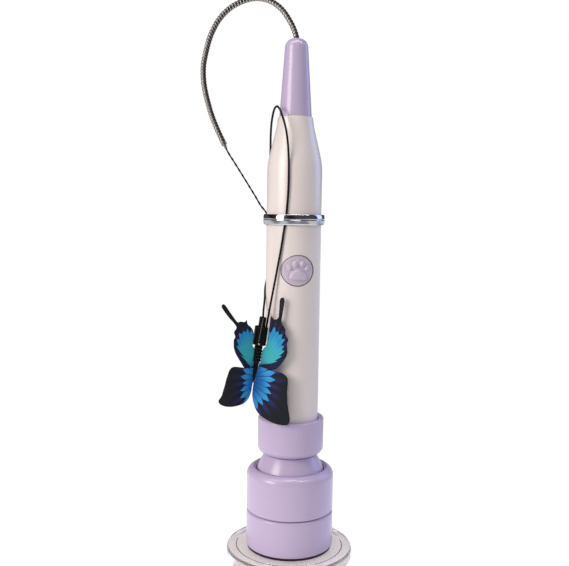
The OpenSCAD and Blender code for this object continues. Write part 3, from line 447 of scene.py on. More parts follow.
# Points in mm in the plane y = 0: across, then up from the tip of the nose.
ARM_ROUTE = [
    (0, -8), (0, -4), (-0.1, 0), (-1.1, 3.6), (-3.3, 8.2), (-7.2, 14), (-11.7, 18), (-17, 20.3), (-23, 20.8),
    (-29.6, 19.1), (-36.5, 15.2), (-42.4, 8.8), (-46.7, 0.3), (-49.3, -9.4), (-50.3, -16), (-50.1, -23),
    (-48.9, -30), (-46.1, -40), (-42.7, -48.5), (-39, -56.2),
]
arm_line = smooth_line([(x, 0, TIP_Z + z) for x, z in ARM_ROUTE], ARM_STEPS) * MM
arm_run = run_of(arm_line)


def along_arm(distance):
    """Points of the arm's middle line at these distances from its foot."""
    return np.stack([np.interp(distance, arm_run, arm_line[:, k]) for k in range(3)], axis=-1)


curls = round(arm_run[-1] / (CURL_MM * MM))
places = np.linspace(0, arm_run[-1], curls * CURL_POINTS + 1)
ahead = along_arm(np.minimum(places + MM, arm_run[-1])) - along_arm(np.maximum(places - MM, 0))
ahead /= np.linalg.norm(ahead, axis=1)[:, None]
inward = np.stack([-ahead[:, 2], 0 * places, ahead[:, 0]], axis=-1)
turn = 2 * np.pi * np.arange(len(places))[:, None] / CURL_POINTS
coil_r = (SPRING_D - WIRE_THICK) / 2 * MM
helix = along_arm(places) + coil_r * (np.cos(turn) * inward + np.sin(turn) * np.array([0, 1, 0]))
wire_half = WIRE_WIDE / 2 * MM, WIRE_THICK / 2 * MM
spring = swept_tube("wound_spring", helix, *wire_half, sides=WIRE_SIDES, across=ahead)
# The side that gets painted shade, where that shade starts and how far it takes to darken, in parts of the
# radius.
SHADE_FACES, SHADE_FROM, SHADE_OVER = np.array([0.8, 0, 0.6]), -0.3, 0.5
skin = np.array([v.co for v in spring.data.vertices]).reshape(len(places), -1, 3)
off_middle = (skin - along_arm(places)[:, None]) @ SHADE_FACES / (SPRING_D / 2 * MM)
soot = np.clip((off_middle - SHADE_FROM) / SHADE_OVER, 0, 1).ravel()
spring.data.attributes.new("soot", "FLOAT", "POINT").data.foreach_set("value", soot.astype(np.float32))
dress(spring, spring_steel, "arm", "spring_steel", "spring_arm")
core_r = CORE_D / 2 * MM
core_end = int(len(places) * (1 - CORE_SHORT_MM * MM / arm_run[-1]))
core_path = along_arm(places)[: core_end : CURL_POINTS // 2]
core = swept_tube("arm_core_wire", core_path, core_r, core_r)
dress(core, coated_wire, "arm", "black_coated_wire", "arm_core")
print("curls:", curls)

# %% [markdown]
# ## Turned shells
# Almost every shell of the toy is a body of revolution, so one lathe serves them all: it turns
# a profile of radius and height about the wand's axis. A moulded edge is never sharp, and its
# small round is what catches the light, so each corner of a profile may carry a radius that
# becomes an arc, with a support point either side that keeps the flanks flat.

# %% Lathe
LATHE_SIDES = 160
SUPPORT_MM = 0.15


def rounded(corners, steps=6):
    """A closed profile from (radius, height) or (radius, height, round) corners."""
    profile = []
    for i, corner in enumerate(corners):
        spot = np.array(corner[:2], float)
        if len(corner) < 3:
            profile.append(spot)
            continue
        back = np.array(corners[i - 1][:2], float) - spot
        on = np.array(corners[(i + 1) % len(corners)][:2], float) - spot
        room = np.linalg.norm(back), np.linalg.norm(on)
        back, on = back / room[0], on / room[1]
        half = math.acos(np.clip(back.dot(on), -1, 1)) / 2
        reach = corner[2] / math.tan(half)
        middle = spot + (back + on) / np.linalg.norm(back + on) * corner[2] / math.sin(half)
        start, end = spot + back * reach - middle, spot + on * reach - middle
        first = math.atan2(start[1], start[0])
        sweep = (math.atan2(end[1], end[0]) - first + math.pi) % (2 * math.pi) - math.pi
        if room[0] > reach + 3 * SUPPORT_MM:
            profile.append(spot + back * (reach + SUPPORT_MM))
        for k in range(steps + 1):
            a = first + sweep * k / steps
            profile.append(middle + corner[2] * np.array([math.cos(a), math.sin(a)]))
        if room[1] > reach + 3 * SUPPORT_MM:
            profile.append(spot + on * (reach + SUPPORT_MM))
    return profile


def lathe(name, profile, sides=LATHE_SIDES):
    """Turns a closed profile in mm about the wand's axis; points on the axis become poles."""
    points, rings = [], []
    for r, z in profile:
        if r < 1e-6:
            rings.append([len(points)] * sides)
            points.append((0, 0, z * MM))
            continue
        rings.append(list(range(len(points), len(points) + sides)))
        for k in range(sides):
            a = 2 * math.pi * k / sides
            points.append((r * math.cos(a) * MM, r * math.sin(a) * MM, z * MM))
    faces = []
    for low, high in zip(rings, rings[1:] + rings[:1]):
        if low[0] == low[1] and high[0] == high[1]:
            continue
        for k in range(sides):
            n = (k + 1) % sides
            corner_loop = [low[k], low[n], high[n], high[k]]
            faces.append(tuple(dict.fromkeys(corner_loop)))
    return add_mesh(name, points, faces)


def span(node):
    """A turned node's outer radius, and its lowest and highest level, in mm."""
    low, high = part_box(node)
    return high.x / MM, low.z / MM, high.z / MM


CUT_SHARP_DEG = 30


def cut_with(piece, cutters, operation="DIFFERENCE"):
    """Cuts closed meshes out of a piece, or joins them to it, and removes them."""
    for cutter in cutters:
        change = piece.modifiers.new("cut", "BOOLEAN")
        change.operation, change.object, change.solver = operation, cutter, "EXACT"
    bpy.context.view_layer.update()
    cut = bpy.data.meshes.new_from_object(piece.evaluated_get(bpy.context.evaluated_depsgraph_get()))
    piece.modifiers.clear()
    piece.data = cut
    cut.set_sharp_from_angle(angle=math.radians(CUT_SHARP_DEG))
    for cutter in cutters:
        bpy.data.objects.remove(cutter)
    return piece


# %% [markdown]
# ## Foot: lock ring, housing and neck
# The lilac foot is two stacked rings with a dark seam between them, and the neck flares out of
# the housing's rounded mouth. The seam is a real gap with rounded lips, not a painted line, but
# the dark line at the ring's foot is painted shade: a thin dark ring set back under it. The inner
# faces are there too, because the clear pad shows the ring from below.

# %% Lock ring and painted shade ring
BASE_WALL, EDGE_ROUND, LOCK_ROUND, SHADE_RING_H, SHADE_RING_IN = 2.2, 0.9, 1.4, 1.3, 0.7
HUB_R, HUB_BORE, WEB_T, HUB_FOOT, HUB_DROP, BOSS_GAP = 7, 3.05, 3, 2.5, 5.4, 0.6
base_r, lock_z0, lock_z1 = span("lock_ring")
boss_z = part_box("suction_pad")[1].z / MM
shade_ring_r, shade_ring_z1 = base_r - SHADE_RING_IN, lock_z0 + SHADE_RING_H
hub_z0, hub_z1 = boss_z + BOSS_GAP, lock_z1 - HUB_DROP
web_z0 = hub_z0 + HUB_FOOT
web_z1 = web_z0 + WEB_T
bore = base_r - BASE_WALL
lock_profile = rounded([
    (base_r, shade_ring_z1, EDGE_ROUND), (base_r, lock_z1, LOCK_ROUND), (bore, lock_z1), (bore, web_z1),
    (HUB_R, web_z1), (HUB_R, hub_z1), (HUB_BORE, hub_z1), (HUB_BORE, hub_z0), (HUB_R, hub_z0),
    (HUB_R, web_z0), (bore, web_z0), (bore, shade_ring_z1),
])
dress(lathe("lock_ring_shell", lock_profile), lilac_abs, "lock", "lilac_plastic", "lock_ring")
# Painted shade: a dark plum ring in the recess under the lock ring's foot, where shade falls.
shade_ring_profile = [(bore, lock_z0), (shade_ring_r, lock_z0), (shade_ring_r, shade_ring_z1), (bore, shade_ring_z1)]
dress(lathe("foot_painted_shade_ring", shade_ring_profile), shade_ring_rubber, "lock", "black_rubber", "lock_ring")

# %% Housing
MOUTH_GAP, LIP_T, LIP_ROUND, TOP_ROUND, HOUSE_STEPS = 0.4, 3, 1.2, 4.5, 12
DECK_DROP, DECK_T, STEM_BORE = 9.4, 3, 8.05
house_r, house_z0, house_z1 = span("base_housing")
flange_r, stem_z0, neck_z1 = span("neck")
mouth_r = flange_r + MOUTH_GAP
lip_z0 = house_z1 - LIP_T
deck_z1 = house_z1 - DECK_DROP
house_profile = rounded([
    (house_r, house_z0, EDGE_ROUND), (house_r, house_z1, TOP_ROUND), (mouth_r, house_z1, LIP_ROUND),
    (mouth_r, lip_z0), (bore, lip_z0 - TOP_ROUND / 2), (bore, deck_z1), (STEM_BORE, deck_z1),
    (STEM_BORE, deck_z1 - DECK_T), (bore, deck_z1 - DECK_T), (bore, house_z0),
], steps=HOUSE_STEPS)
dress(lathe("housing_shell", house_profile), lilac_abs, "foot", "lilac_plastic", "base_housing")

# %% Neck
NECK_R, FLANGE_DROP, FLANGE_T, THRUST_T, THRUST_R, STEM_R = 14.4, 1.1, 2.9, 1.2, 12, 8
FLARE_TOP, FLARE_BEND, FLARE_STEPS, UNDERCUT = 0.3, 1.25, 18, 1.0
# In the photograph the neck's top and the cup's foot lie this much higher than in the solids.
CUP_LIFT = 1.0
flange_z1 = house_z1 - FLANGE_DROP
flange_z0 = flange_z1 - FLANGE_T
thrust_z = deck_z1 + THRUST_T
flare_h = neck_z1 - FLARE_TOP - flange_z1
flare = [
    (flange_r - (flange_r - NECK_R) * t**FLARE_BEND, flange_z1 + flare_h * t)
    for t in np.linspace(0, 1, FLARE_STEPS)
]
joint_r, joint_z = NECK_R - UNDERCUT, neck_z1 + CUP_LIFT
neck_profile = [
    (0, stem_z0), (STEM_R, stem_z0), (STEM_R, thrust_z), (THRUST_R, thrust_z), (THRUST_R, flange_z0),
    (flange_r, flange_z0), *flare, (joint_r, flare[-1][1] + FLARE_TOP), (joint_r, joint_z), (0, joint_z),
]
dress(lathe("flared_neck", neck_profile), lilac_abs, "holder", "lilac_plastic", "neck")

# %% [markdown]
# ## The cup
# The wand drops into an open cup with a rounded foot and a soft rim. Three screws sit in
# counterbores in its floor, and they show once the wand is lifted out, so the counterbores are
# cut here as well.

# %% Cup
CUP_WALL, CUP_FLOOR, CUP_FOOT_R, CUP_FOOT_H, CUP_RIM, FLOOR_ROUND = 2.9, 3.6, 15.5, 3.2, 0.9, 0.4
SCREWS, SCREW_RING, SCREW_HEAD_R, SCREW_DEPTH, DRILL_OVER, DRILL_SIDES = 3, 9.5, 2.65, 1.8, 1, 40
# The foot's quarter round, in degrees.
FOOT_ARC = np.arange(-84, 1, 7)
cup_r, cup_z0, cup_z1 = span("wand_cup")
cup_in = cup_r - CUP_WALL
floor_z = cup_z0 + CUP_FLOOR
foot_z = cup_z0 + CUP_LIFT
foot_curve = [
    (CUP_FOOT_R + (cup_r - CUP_FOOT_R) * math.cos(a), foot_z + CUP_FOOT_H * (1 + math.sin(a)))
    for a in np.radians(FOOT_ARC)
]
cup_wall = rounded([
    (cup_r, foot_z + CUP_FOOT_H), (cup_r, cup_z1, CUP_RIM), (cup_in, cup_z1, CUP_RIM),
    (cup_in, floor_z, FLOOR_ROUND), (0, floor_z), (0, foot_z), (CUP_FOOT_R, foot_z),
])
cup = lathe("wand_cup_shell", cup_wall + foot_curve[:-1])
drill_z0, drill_z1 = floor_z - SCREW_DEPTH, floor_z + DRILL_OVER
drill_profile = [(0, drill_z0), (SCREW_HEAD_R, drill_z0), (SCREW_HEAD_R, drill_z1), (0, drill_z1)]
drills = []
for k in range(SCREWS):
    drill = lathe("drill", drill_profile, sides=DRILL_SIDES)
    a = 2 * math.pi * k / SCREWS
    drill.location = (SCREW_RING * MM * math.cos(a), SCREW_RING * MM * math.sin(a), 0)
    drills.append(drill)
dress(cut_with(cup, drills), lilac_abs, "holder", "lilac_plastic", "wand_cup")

# %% [markdown]
# ## Barrel, shoulder and nose
# The pearl barrel is a plain tube with a round hole for the button. Above the ring the
# shoulder runs straight and then draws in to the lilac nose in one easy curve. The lathe makes
# all three, and the hole is cut through the barrel's wall with a round cutter.

# %% Barrel
BARREL_WALL, GROOVE_DEPTH, GROOVE_H, SEAM_ROUND = 1.8, 0.7, 2, 0.25
barrel_r, barrel_z0, barrel_z1 = span("barrel")
barrel_in = barrel_r - BARREL_WALL
groove_r = barrel_r - GROOVE_DEPTH
groove_z0, groove_z1 = barrel_z1 - GROOVE_H / 2, barrel_z1 + GROOVE_H / 2
barrel_profile = rounded([
    (barrel_r, barrel_z0, SEAM_ROUND), (barrel_r, groove_z0, SEAM_ROUND), (groove_r, groove_z0),
    (groove_r, barrel_z1), (barrel_in, barrel_z1), (barrel_in, barrel_z0),
])
BUTTON_R, BUTTON_GAP, BUTTON_TURN, HOLE_REACH, HOLE_SIDES = 8.5, 0.35, math.radians(9.5), 30, 96
# The photographed button is a little wider than tall.
BUTTON_STRETCH = (1.025, 1, 0.965)
button_low, button_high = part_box("paw_button")
button_z = (button_low.z + button_high.z) / 2 / MM
barrel = lathe("pearl_barrel", barrel_profile)
hole_r = BUTTON_R + BUTTON_GAP
hole = lathe("hole", [(0, 0), (hole_r, 0), (hole_r, HOLE_REACH), (0, HOLE_REACH)], sides=HOLE_SIDES)
at_button = Matrix.Translation((0, 0, button_z * MM)) @ Matrix.Rotation(BUTTON_TURN, 4, "Z")
at_button = at_button @ Matrix.Diagonal((*BUTTON_STRETCH, 1))
hole.matrix_world = at_button @ Matrix.Rotation(math.pi / 2, 4, "X")
dress(cut_with(barrel, [hole]), pearl_abs, "wand", "pearl_plastic", "barrel")

# %% Shoulder
SHOULDER_H, STRAIGHT_H, TOP_R, SHOULDER_WALL, SHOULDER_STEPS = 55.3, 28, 9.5, 1.9, 40
LEDGE_R, LEDGE_DROP, LEDGE_STEP, LEAST_BORE = 7, 5.3, 1, 8.3
SPIGOT_H, SPIGOT_WALL, FIT_GAP, SMALL_ROUND = 8, 1.4, 0.05, 0.3
# How much of the curve eases in and out; the rest runs straight.
EASE = 0.5
shoulder_z1 = barrel_z1 + SHOULDER_H
ledge_z = shoulder_z1 - LEDGE_DROP


def shoulder_r(z):
    """The shoulder's outer radius at a level: straight, then an easy curve inwards."""
    t = min(max((z - barrel_z1 - STRAIGHT_H) / (SHOULDER_H - STRAIGHT_H), 0), 1)
    return barrel_r - (barrel_r - TOP_R) * ((1 - EASE) * t + EASE * t * t * (3 - 2 * t))


levels = np.linspace(barrel_z1 + STRAIGHT_H, shoulder_z1, SHOULDER_STEPS)
foot_edge = rounded([
    (groove_r, barrel_z1), (groove_r, groove_z1), (barrel_r, groove_z1, SEAM_ROUND),
    (barrel_r, barrel_z1 + STRAIGHT_H),
])[:-1]
outer = [(shoulder_r(z), z) for z in levels[:-1]]
top_edge = rounded([outer[-1], (TOP_R, shoulder_z1, SMALL_ROUND), (LEDGE_R, shoulder_z1)])[1:-1]
inner = [
    (max(LEAST_BORE, shoulder_r(z) - SHOULDER_WALL), z) for z in levels[::-1] if z < ledge_z - LEDGE_STEP
]
spigot_z0, spigot_r = barrel_z1 - SPIGOT_H, barrel_in - FIT_GAP
shoulder_profile = [
    *foot_edge, *outer, *top_edge, (LEDGE_R, shoulder_z1), (LEDGE_R, ledge_z), (inner[0][0], ledge_z), *inner,
    (barrel_in - SPIGOT_WALL, spigot_z0), (spigot_r, spigot_z0), (spigot_r, barrel_z1),
]
dress(lathe("pearl_shoulder", shoulder_profile), pearl_abs, "wand", "pearl_plastic", "shoulder")

# %% Nose
NOSE_R, NOSE_TIP_R, NOSE_ROUND, NOSE_BORE, NOSE_SPIGOT_H = 8.8, 6.3, 4.9, 5, 4
TIP_HOLE_R, TIP_HOLE_DEPTH, TIP_STEPS = 2.05, 6, 16
tip_middle_r = NOSE_TIP_R - NOSE_ROUND
tip_arc = [
    (tip_middle_r + NOSE_ROUND * math.cos(a), TIP_Z - NOSE_ROUND + NOSE_ROUND * math.sin(a))
    for a in np.linspace(0, math.acos((TIP_HOLE_R - tip_middle_r) / NOSE_ROUND), TIP_STEPS)
]
plug_r, plug_z0, tip_hole_z0 = LEDGE_R - FIT_GAP, shoulder_z1 - NOSE_SPIGOT_H, TIP_Z - TIP_HOLE_DEPTH
nose_profile = rounded([
    (plug_r, plug_z0), (plug_r, shoulder_z1), (NOSE_R, shoulder_z1, SMALL_ROUND), *tip_arc,
    (TIP_HOLE_R, tip_hole_z0), (NOSE_BORE, tip_hole_z0), (NOSE_BORE, plug_z0),
])
dress(lathe("lilac_nose", nose_profile), lilac_abs, "wand", "lilac_plastic", "nose")

# %% [markdown]
# ## The guide ring
# A bright chromed ring circles the barrel, and the wires run down inside it. Its face is one
# easy bulge with a fine line round the middle. It is turned like the shells; three small lugs
# reach into the barrel's groove and carry it. What makes it read as chrome is what it mirrors,
# which the studio at the end takes care of.

# %% Guide ring
RING_IN, EDGE_STEP, EDGE_CUT, LINE_DEPTH, LINE_HALF = 16.25, 0.05, 0.3, 0.25, 0.3
LUGS, LUG_H, LUG_TURN, LUG_GAP, LUG_LAP = 3, 1.6, math.radians(14), 0.1, 0.3
# The bulge's half round, in degrees.
BULGE_ARC = np.arange(-87, 88, 2.9)
ring_out, ring_z0, ring_z1 = span("guide_ring")
edge_r, ring_half = RING_IN + EDGE_STEP, (ring_z1 - ring_z0) / 2


def bulge_r(angle):
    """The ring's outer radius at an angle over its bulge, with the dip of the fine line."""
    dip = max(0, 1 - abs(ring_half * math.sin(angle)) / LINE_HALF)
    return edge_r + (ring_out - edge_r) * math.cos(angle) - LINE_DEPTH * dip


bulge = [(bulge_r(a), RING_Z + ring_half * math.sin(a)) for a in np.radians(BULGE_ARC)]
ring = lathe("chrome_guide_ring", [(RING_IN, ring_z0 + EDGE_CUT), *bulge, (RING_IN, ring_z1 - EDGE_CUT)])
lug_in, lug_out = groove_r + LUG_GAP, RING_IN + LUG_LAP
lugs = []
for k in range(LUGS):
    middle = math.pi / 2 + 2 * math.pi * k / LUGS
    corners = [
        (r, middle + s * LUG_TURN / 2) for r, s in ((lug_in, -1), (lug_out, -1), (lug_out, 1), (lug_in, 1))
    ]
    points = [
        (r * math.cos(a) * MM, r * math.sin(a) * MM, (RING_Z + h * LUG_H / 2) * MM)
        for h in (-1, 1)
        for r, a in corners
    ]
    sides = [(i, (i + 1) % 4, (i + 1) % 4 + 4, i + 4) for i in range(4)]
    lugs.append(add_mesh("lug", points, [(3, 2, 1, 0), (4, 5, 6, 7), *sides]))
dress(cut_with(ring, lugs, "UNION"), chrome_plate, "ring", "chrome_plate", "guide_ring")

# %% [markdown]
# ## The paw button
# The button follows the barrel's curve and carries a raised paw print with soft flanks. A
# stamp cut with booleans would have hard walls, so the face is a height field instead: a polar
# grid whose points rise with their distance inside the toes and the pad of the print, and dip
# a little just outside it.

# %% Paw button
PAW_RELIEF, PAW_SOFT, PAW_MOAT, MOAT_OUT, MOAT_WIDE, PAW_STEPS = 0.95, 1.0, 0.3, 0.2, 0.5, 8
FACE_R, RIM_ROUND, BUTTON_BACK = 14.55, 0.5, 9.2
# Toes in parts of the button's radius: across, up, half width, half height, lean in degrees.
TOES = [(-0.53, 0.17, 0.17, 0.24, 20), (-0.17, 0.42, 0.18, 0.24, 6), (0.29, 0.43, 0.17, 0.23, -8),
        (0.6, 0.18, 0.16, 0.22, -24)]
PAW_PAD = [(-0.52, -0.46), (-0.38, -0.12), (0.03, 0.12), (0.42, -0.1), (0.6, -0.42), (0.5, -0.65),
           (0.05, -0.66), (-0.4, -0.65)]


def line_distance(spots, a, b):
    """How far each spot lies from the nearest of the straight lines from a to b."""
    side = b - a
    t = np.clip(((spots[:, None] - a) * side).sum(-1) / (side**2).sum(-1), 0, 1)
    return np.linalg.norm(spots[:, None] - (a + t[..., None] * side), axis=-1).min(axis=1)


def edge_distance(spots, outline):
    """How far each spot lies inside a closed outline; outside it is negative."""
    a, b = outline, np.roll(outline, -1, axis=0)
    side, far = b - a, line_distance(spots, a, b)
    x, y = spots[:, :1], spots[:, 1:]
    crosses = (a[:, 1] > y) != (b[:, 1] > y)
    slope = np.where(side[:, 1] == 0, 1e-12, side[:, 1])
    inside = (crosses & (x < a[:, 0] + (y - a[:, 1]) / slope * side[:, 0])).sum(axis=1) % 2 == 1
    return np.where(inside, far, -far)


def paw_height(spots):
    """The print's height above the button's face at spots across and up, in mm."""
    inside = [edge_distance(spots, smooth_line(PAW_PAD, PAW_STEPS, closed=True) * BUTTON_R)]
    for across, up, half_w, half_h, lean in TOES:
        a = math.radians(lean)
        turned = np.array([[math.cos(a), -math.sin(a)], [math.sin(a), math.cos(a)]])
        local = (spots / BUTTON_R - (across, up)) @ turned
        inside.append((1 - np.hypot(local[:, 0] / half_w, local[:, 1] / half_h)) * half_w * BUTTON_R)
    inside = np.max(inside, axis=0)
    t = np.clip(inside / PAW_SOFT, 0, 1)
    moat = PAW_MOAT * np.exp(-(((inside + MOAT_OUT) / MOAT_WIDE) ** 2))
    return PAW_RELIEF * t * t * (3 - 2 * t) - moat


RINGS, SPOKES = 80, 180
spots = np.array([(BUTTON_R * i / RINGS * math.cos(2 * math.pi * k / SPOKES),
                   BUTTON_R * i / RINGS * math.sin(2 * math.pi * k / SPOKES))
                  for i in range(RINGS + 1) for k in range(SPOKES)])
rim = np.clip((np.hypot(spots[:, 0], spots[:, 1]) - (BUTTON_R - RIM_ROUND)) / RIM_ROUND, 0, 1)
depth = np.sqrt(FACE_R**2 - spots[:, 0] ** 2) + paw_height(spots) - RIM_ROUND * (1 - np.sqrt(1 - rim**2))
face = np.stack([spots[:, 0], -depth, spots[:, 1]], axis=-1) * MM
back = face[-SPOKES:] * (1, 0, 1) - (0, BUTTON_BACK * MM, 0)
points = [at_button @ Vector(p) for p in np.concatenate([face[SPOKES - 1 :], back])]
faces = [(0, 1 + k, 1 + (k + 1) % SPOKES) for k in range(SPOKES)]
for i in range(RINGS):
    start = 1 + i * SPOKES
    faces += [(start + k, start + (k + 1) % SPOKES, start + SPOKES + (k + 1) % SPOKES, start + SPOKES + k)
              for k in range(SPOKES)]
faces.append(tuple(range(len(points) - SPOKES, len(points))))
button = add_mesh("paw_print_button", points, faces)
dress(button, button_abs, "button", "lilac_plastic", "paw_button")

# %% [markdown]
# ## The clear suction pad
# The pad is soft clear PVC, cast and glossy, about 6 mm thick. Light bends through it, so its rim
# shows bright and dark bands and its middle greys what lies under it. The shader is mostly
# transmission with the index of PVC; a part that scatters gives the milky, pinkish body, and
# there is almost no roughness. The fine moulded line is a real groove.

# %% Clear vinyl
PVC_IOR = 1.53
CAST_WAVE_MM, CAST_WAVE_DEPTH_MM, CAST_WAVE_STRENGTH = 6, 0.12, 0.06
clear_pvc = new_finish("clear_cast_pvc")
tree = clear_pvc.node_tree
place = add_node(tree, "ShaderNodeTexCoord").outputs["Object"]
ripple = add_node(
    tree, "ShaderNodeTexNoise", {"Scale": per_mm(CAST_WAVE_MM), "Detail": 2}, {"Vector": place}
)
wave = add_node(
    tree,
    "ShaderNodeBump",
    {"Strength": CAST_WAVE_STRENGTH, "Distance": CAST_WAVE_DEPTH_MM * MM},
    {"Height": ripple.outputs["Fac"]},
)
vinyl = add_node(
    tree,
    "ShaderNodeBsdfPrincipled",
    {"IOR": PVC_IOR, "Transmission Weight": 0.84, "Roughness": 0.05, "Base Color": linear("#F3ECEC")},
    {"Normal": wave.outputs["Normal"]},
)
add_node(tree, "ShaderNodeOutputMaterial", {}, {"Surface": vinyl.outputs["BSDF"]})
print("vinyl:", clear_pvc.name)

# %% Suction pad
PAD_EDGE, PAD_ROUND, PAD_LINE_R, PAD_LINE_W, PAD_LINE_DEPTH, BOSS_R = 1.2, 0.6, 30, 0.7, 0.35, 11
STUD_HOLE_R, POCKET_R, POCKET_Z0, POCKET_Z1, PAD_SIDES = 3.3, 8.3, 3.0, 7.6, 220
pad_r = span("suction_pad")[0]
pad_t = lock_z0
line_in, line_out = PAD_LINE_R - PAD_LINE_W / 2, PAD_LINE_R + PAD_LINE_W / 2
pad_profile = rounded([
    (0, 0), (pad_r, 0, PAD_ROUND), (pad_r, pad_t, PAD_EDGE), (line_out, pad_t),
    (PAD_LINE_R, pad_t - PAD_LINE_DEPTH), (line_in, pad_t), (BOSS_R, pad_t), (BOSS_R, boss_z, PAD_ROUND),
    (STUD_HOLE_R, boss_z), (STUD_HOLE_R, POCKET_Z1), (POCKET_R, POCKET_Z1), (POCKET_R, POCKET_Z0),
    (0, POCKET_Z0),
])
pad = lathe("clear_suction_pad", pad_profile, sides=PAD_SIDES)
dress(pad, clear_pvc, "foot", "clear_pvc", "suction_pad")

# %% [markdown]
# ## The butterfly's wings
# Each wing is a printed film, cut to outline. A flat plate with a painted outline would look
# like card, so the film gets a slight camber and a ripple along its veins. It is filled with a
# fine triangle mesh, and each point notes three things for the print: how far it lies from the
# wing's root, where it lies in the fan of rays, and how far it is from the edge.

# %% Wing outlines
PIN = Vector((-17.95, -13, RING_Z - 66.8)) * MM
LEAN, LEFT_LIFT, RIGHT_LIFT = math.radians(8), math.radians(42), math.radians(22)
HIND_ROOT, FORE_ROOT = 2.42, 1.5
# Stretches along the body, and how near its axis a film may come there: clip, abdomen, thorax.
ROOM_BESIDE_BODY = [
    (-30, 1.7, 4.35), (1.7, 10, HIND_ROOT), (10, 10.5, 2.0), (10.5, 15.5, FORE_ROOT), (15.5, 18, 1.25),
]
# Outlines in mm: out from the body's axis, then down along it from the clip's pin.
LEFT_HIND = [
    (HIND_ROOT, 4), (5.2, -5.6), (7.4, -8.4), (10.4, -10.3), (11.5, -12.4), (12.6, -11.4), (15.3, -11.6),
    (17.6, -11.4), (22.5, -15.8), (27.3, -20.2), (28.7, -18.7), (23.7, -13.9), (17.7, -8.8), (18.5, -5.7),
    (17.4, -3.3), (17.9, -0.9), (16.8, 3.4), (14.4, 6.9), (10.9, 10.6), (7.4, 13.9),
    (FORE_ROOT, 15.2), (FORE_ROOT, 11), (HIND_ROOT, 10),
]
RIGHT_HIND = [
    (HIND_ROOT, 4), (4.5, -0.4), (4.5, -5.2), (4.6, -10.1), (4.4, -15.2), (5.1, -15.4), (6.8, -14.4),
    (8.9, -15.6), (8.7, -20), (8.2, -25.2), (9.4, -26.8), (10.8, -25.6), (10.9, -19), (11.1, -13.4),
    (13.9, -10.2), (14.1, -8), (16.3, -5.2), (16, -2.7), (17, 2), (16, 5.6), (14, 9.4), (11.4, 12.2),
    (8, 13.2), (FORE_ROOT, 13.4), (FORE_ROOT, 11), (HIND_ROOT, 10),
]
LEFT_FORE = [
    (FORE_ROOT, 14), (7.7, 13.5), (15.4, 12.8), (18, 14.6), (19, 18.2), (19.7, 23), (20.6, 28.3),
    (22.1, 31), (21, 32.9), (18, 34.2), (13.7, 34.7), (9.2, 34.4), (4.7, 33.2), (1.9, 30.8), (0.55, 27.4),
    (0.44, 24), (0.42, 22.9), (0.46, 22), (0.64, 21), (0.85, 20), (1.09, 18.6), (1.32, 17),
]
RIGHT_FORE = [
    (FORE_ROOT, 12.8), (7.8, 12.9), (13.1, 12.9), (16.8, 13.4), (19.2, 15), (20.1, 18.4), (20.5, 23.2),
    (22.1, 30.2), (24.1, 36.2), (24.2, 38.6), (22.9, 40.2), (19.6, 40.9), (14.6, 40.7), (9.3, 39.3),
    (5.3, 37.1), (2.6, 33.6), (0.85, 29.3), (0.45, 26.2), (0.36, 24), (0.36, 22.9), (0.42, 22), (0.64, 21),
    (0.85, 20), (1.09, 18.6), (1.32, 17),
]
at_butterfly = Matrix.Translation(PIN) @ Matrix.Rotation(LEAN, 4, "Y")
at_left = at_butterfly @ Matrix.Rotation(LEFT_LIFT, 4, "Z") @ Matrix.Scale(-1, 4, (1, 0, 0))
at_right = at_butterfly @ Matrix.Rotation(-RIGHT_LIFT, 4, "Z")
print("outline points:", [len(outline) for outline in (LEFT_HIND, RIGHT_HIND, LEFT_FORE, RIGHT_FORE)])

# %% Wing films
FILM_MM, LAYER_MM, GRID_MM, GRID_CLEAR, OUTLINE_STEPS = 0.24, 0.4, 0.55, 0.4, 8
CAMBER_MM, CAMBER_SPAN_MM, BODY_SIDE_MM, BODY_SIDE_FROM = 0.7, 24, 2.6, -9
# The ripple's height, and the distance from the root where it starts and over which it grows.
RIPPLE_MM, RIPPLE_FROM_MM, RIPPLE_OVER_MM = 0.07, 1.8, 6


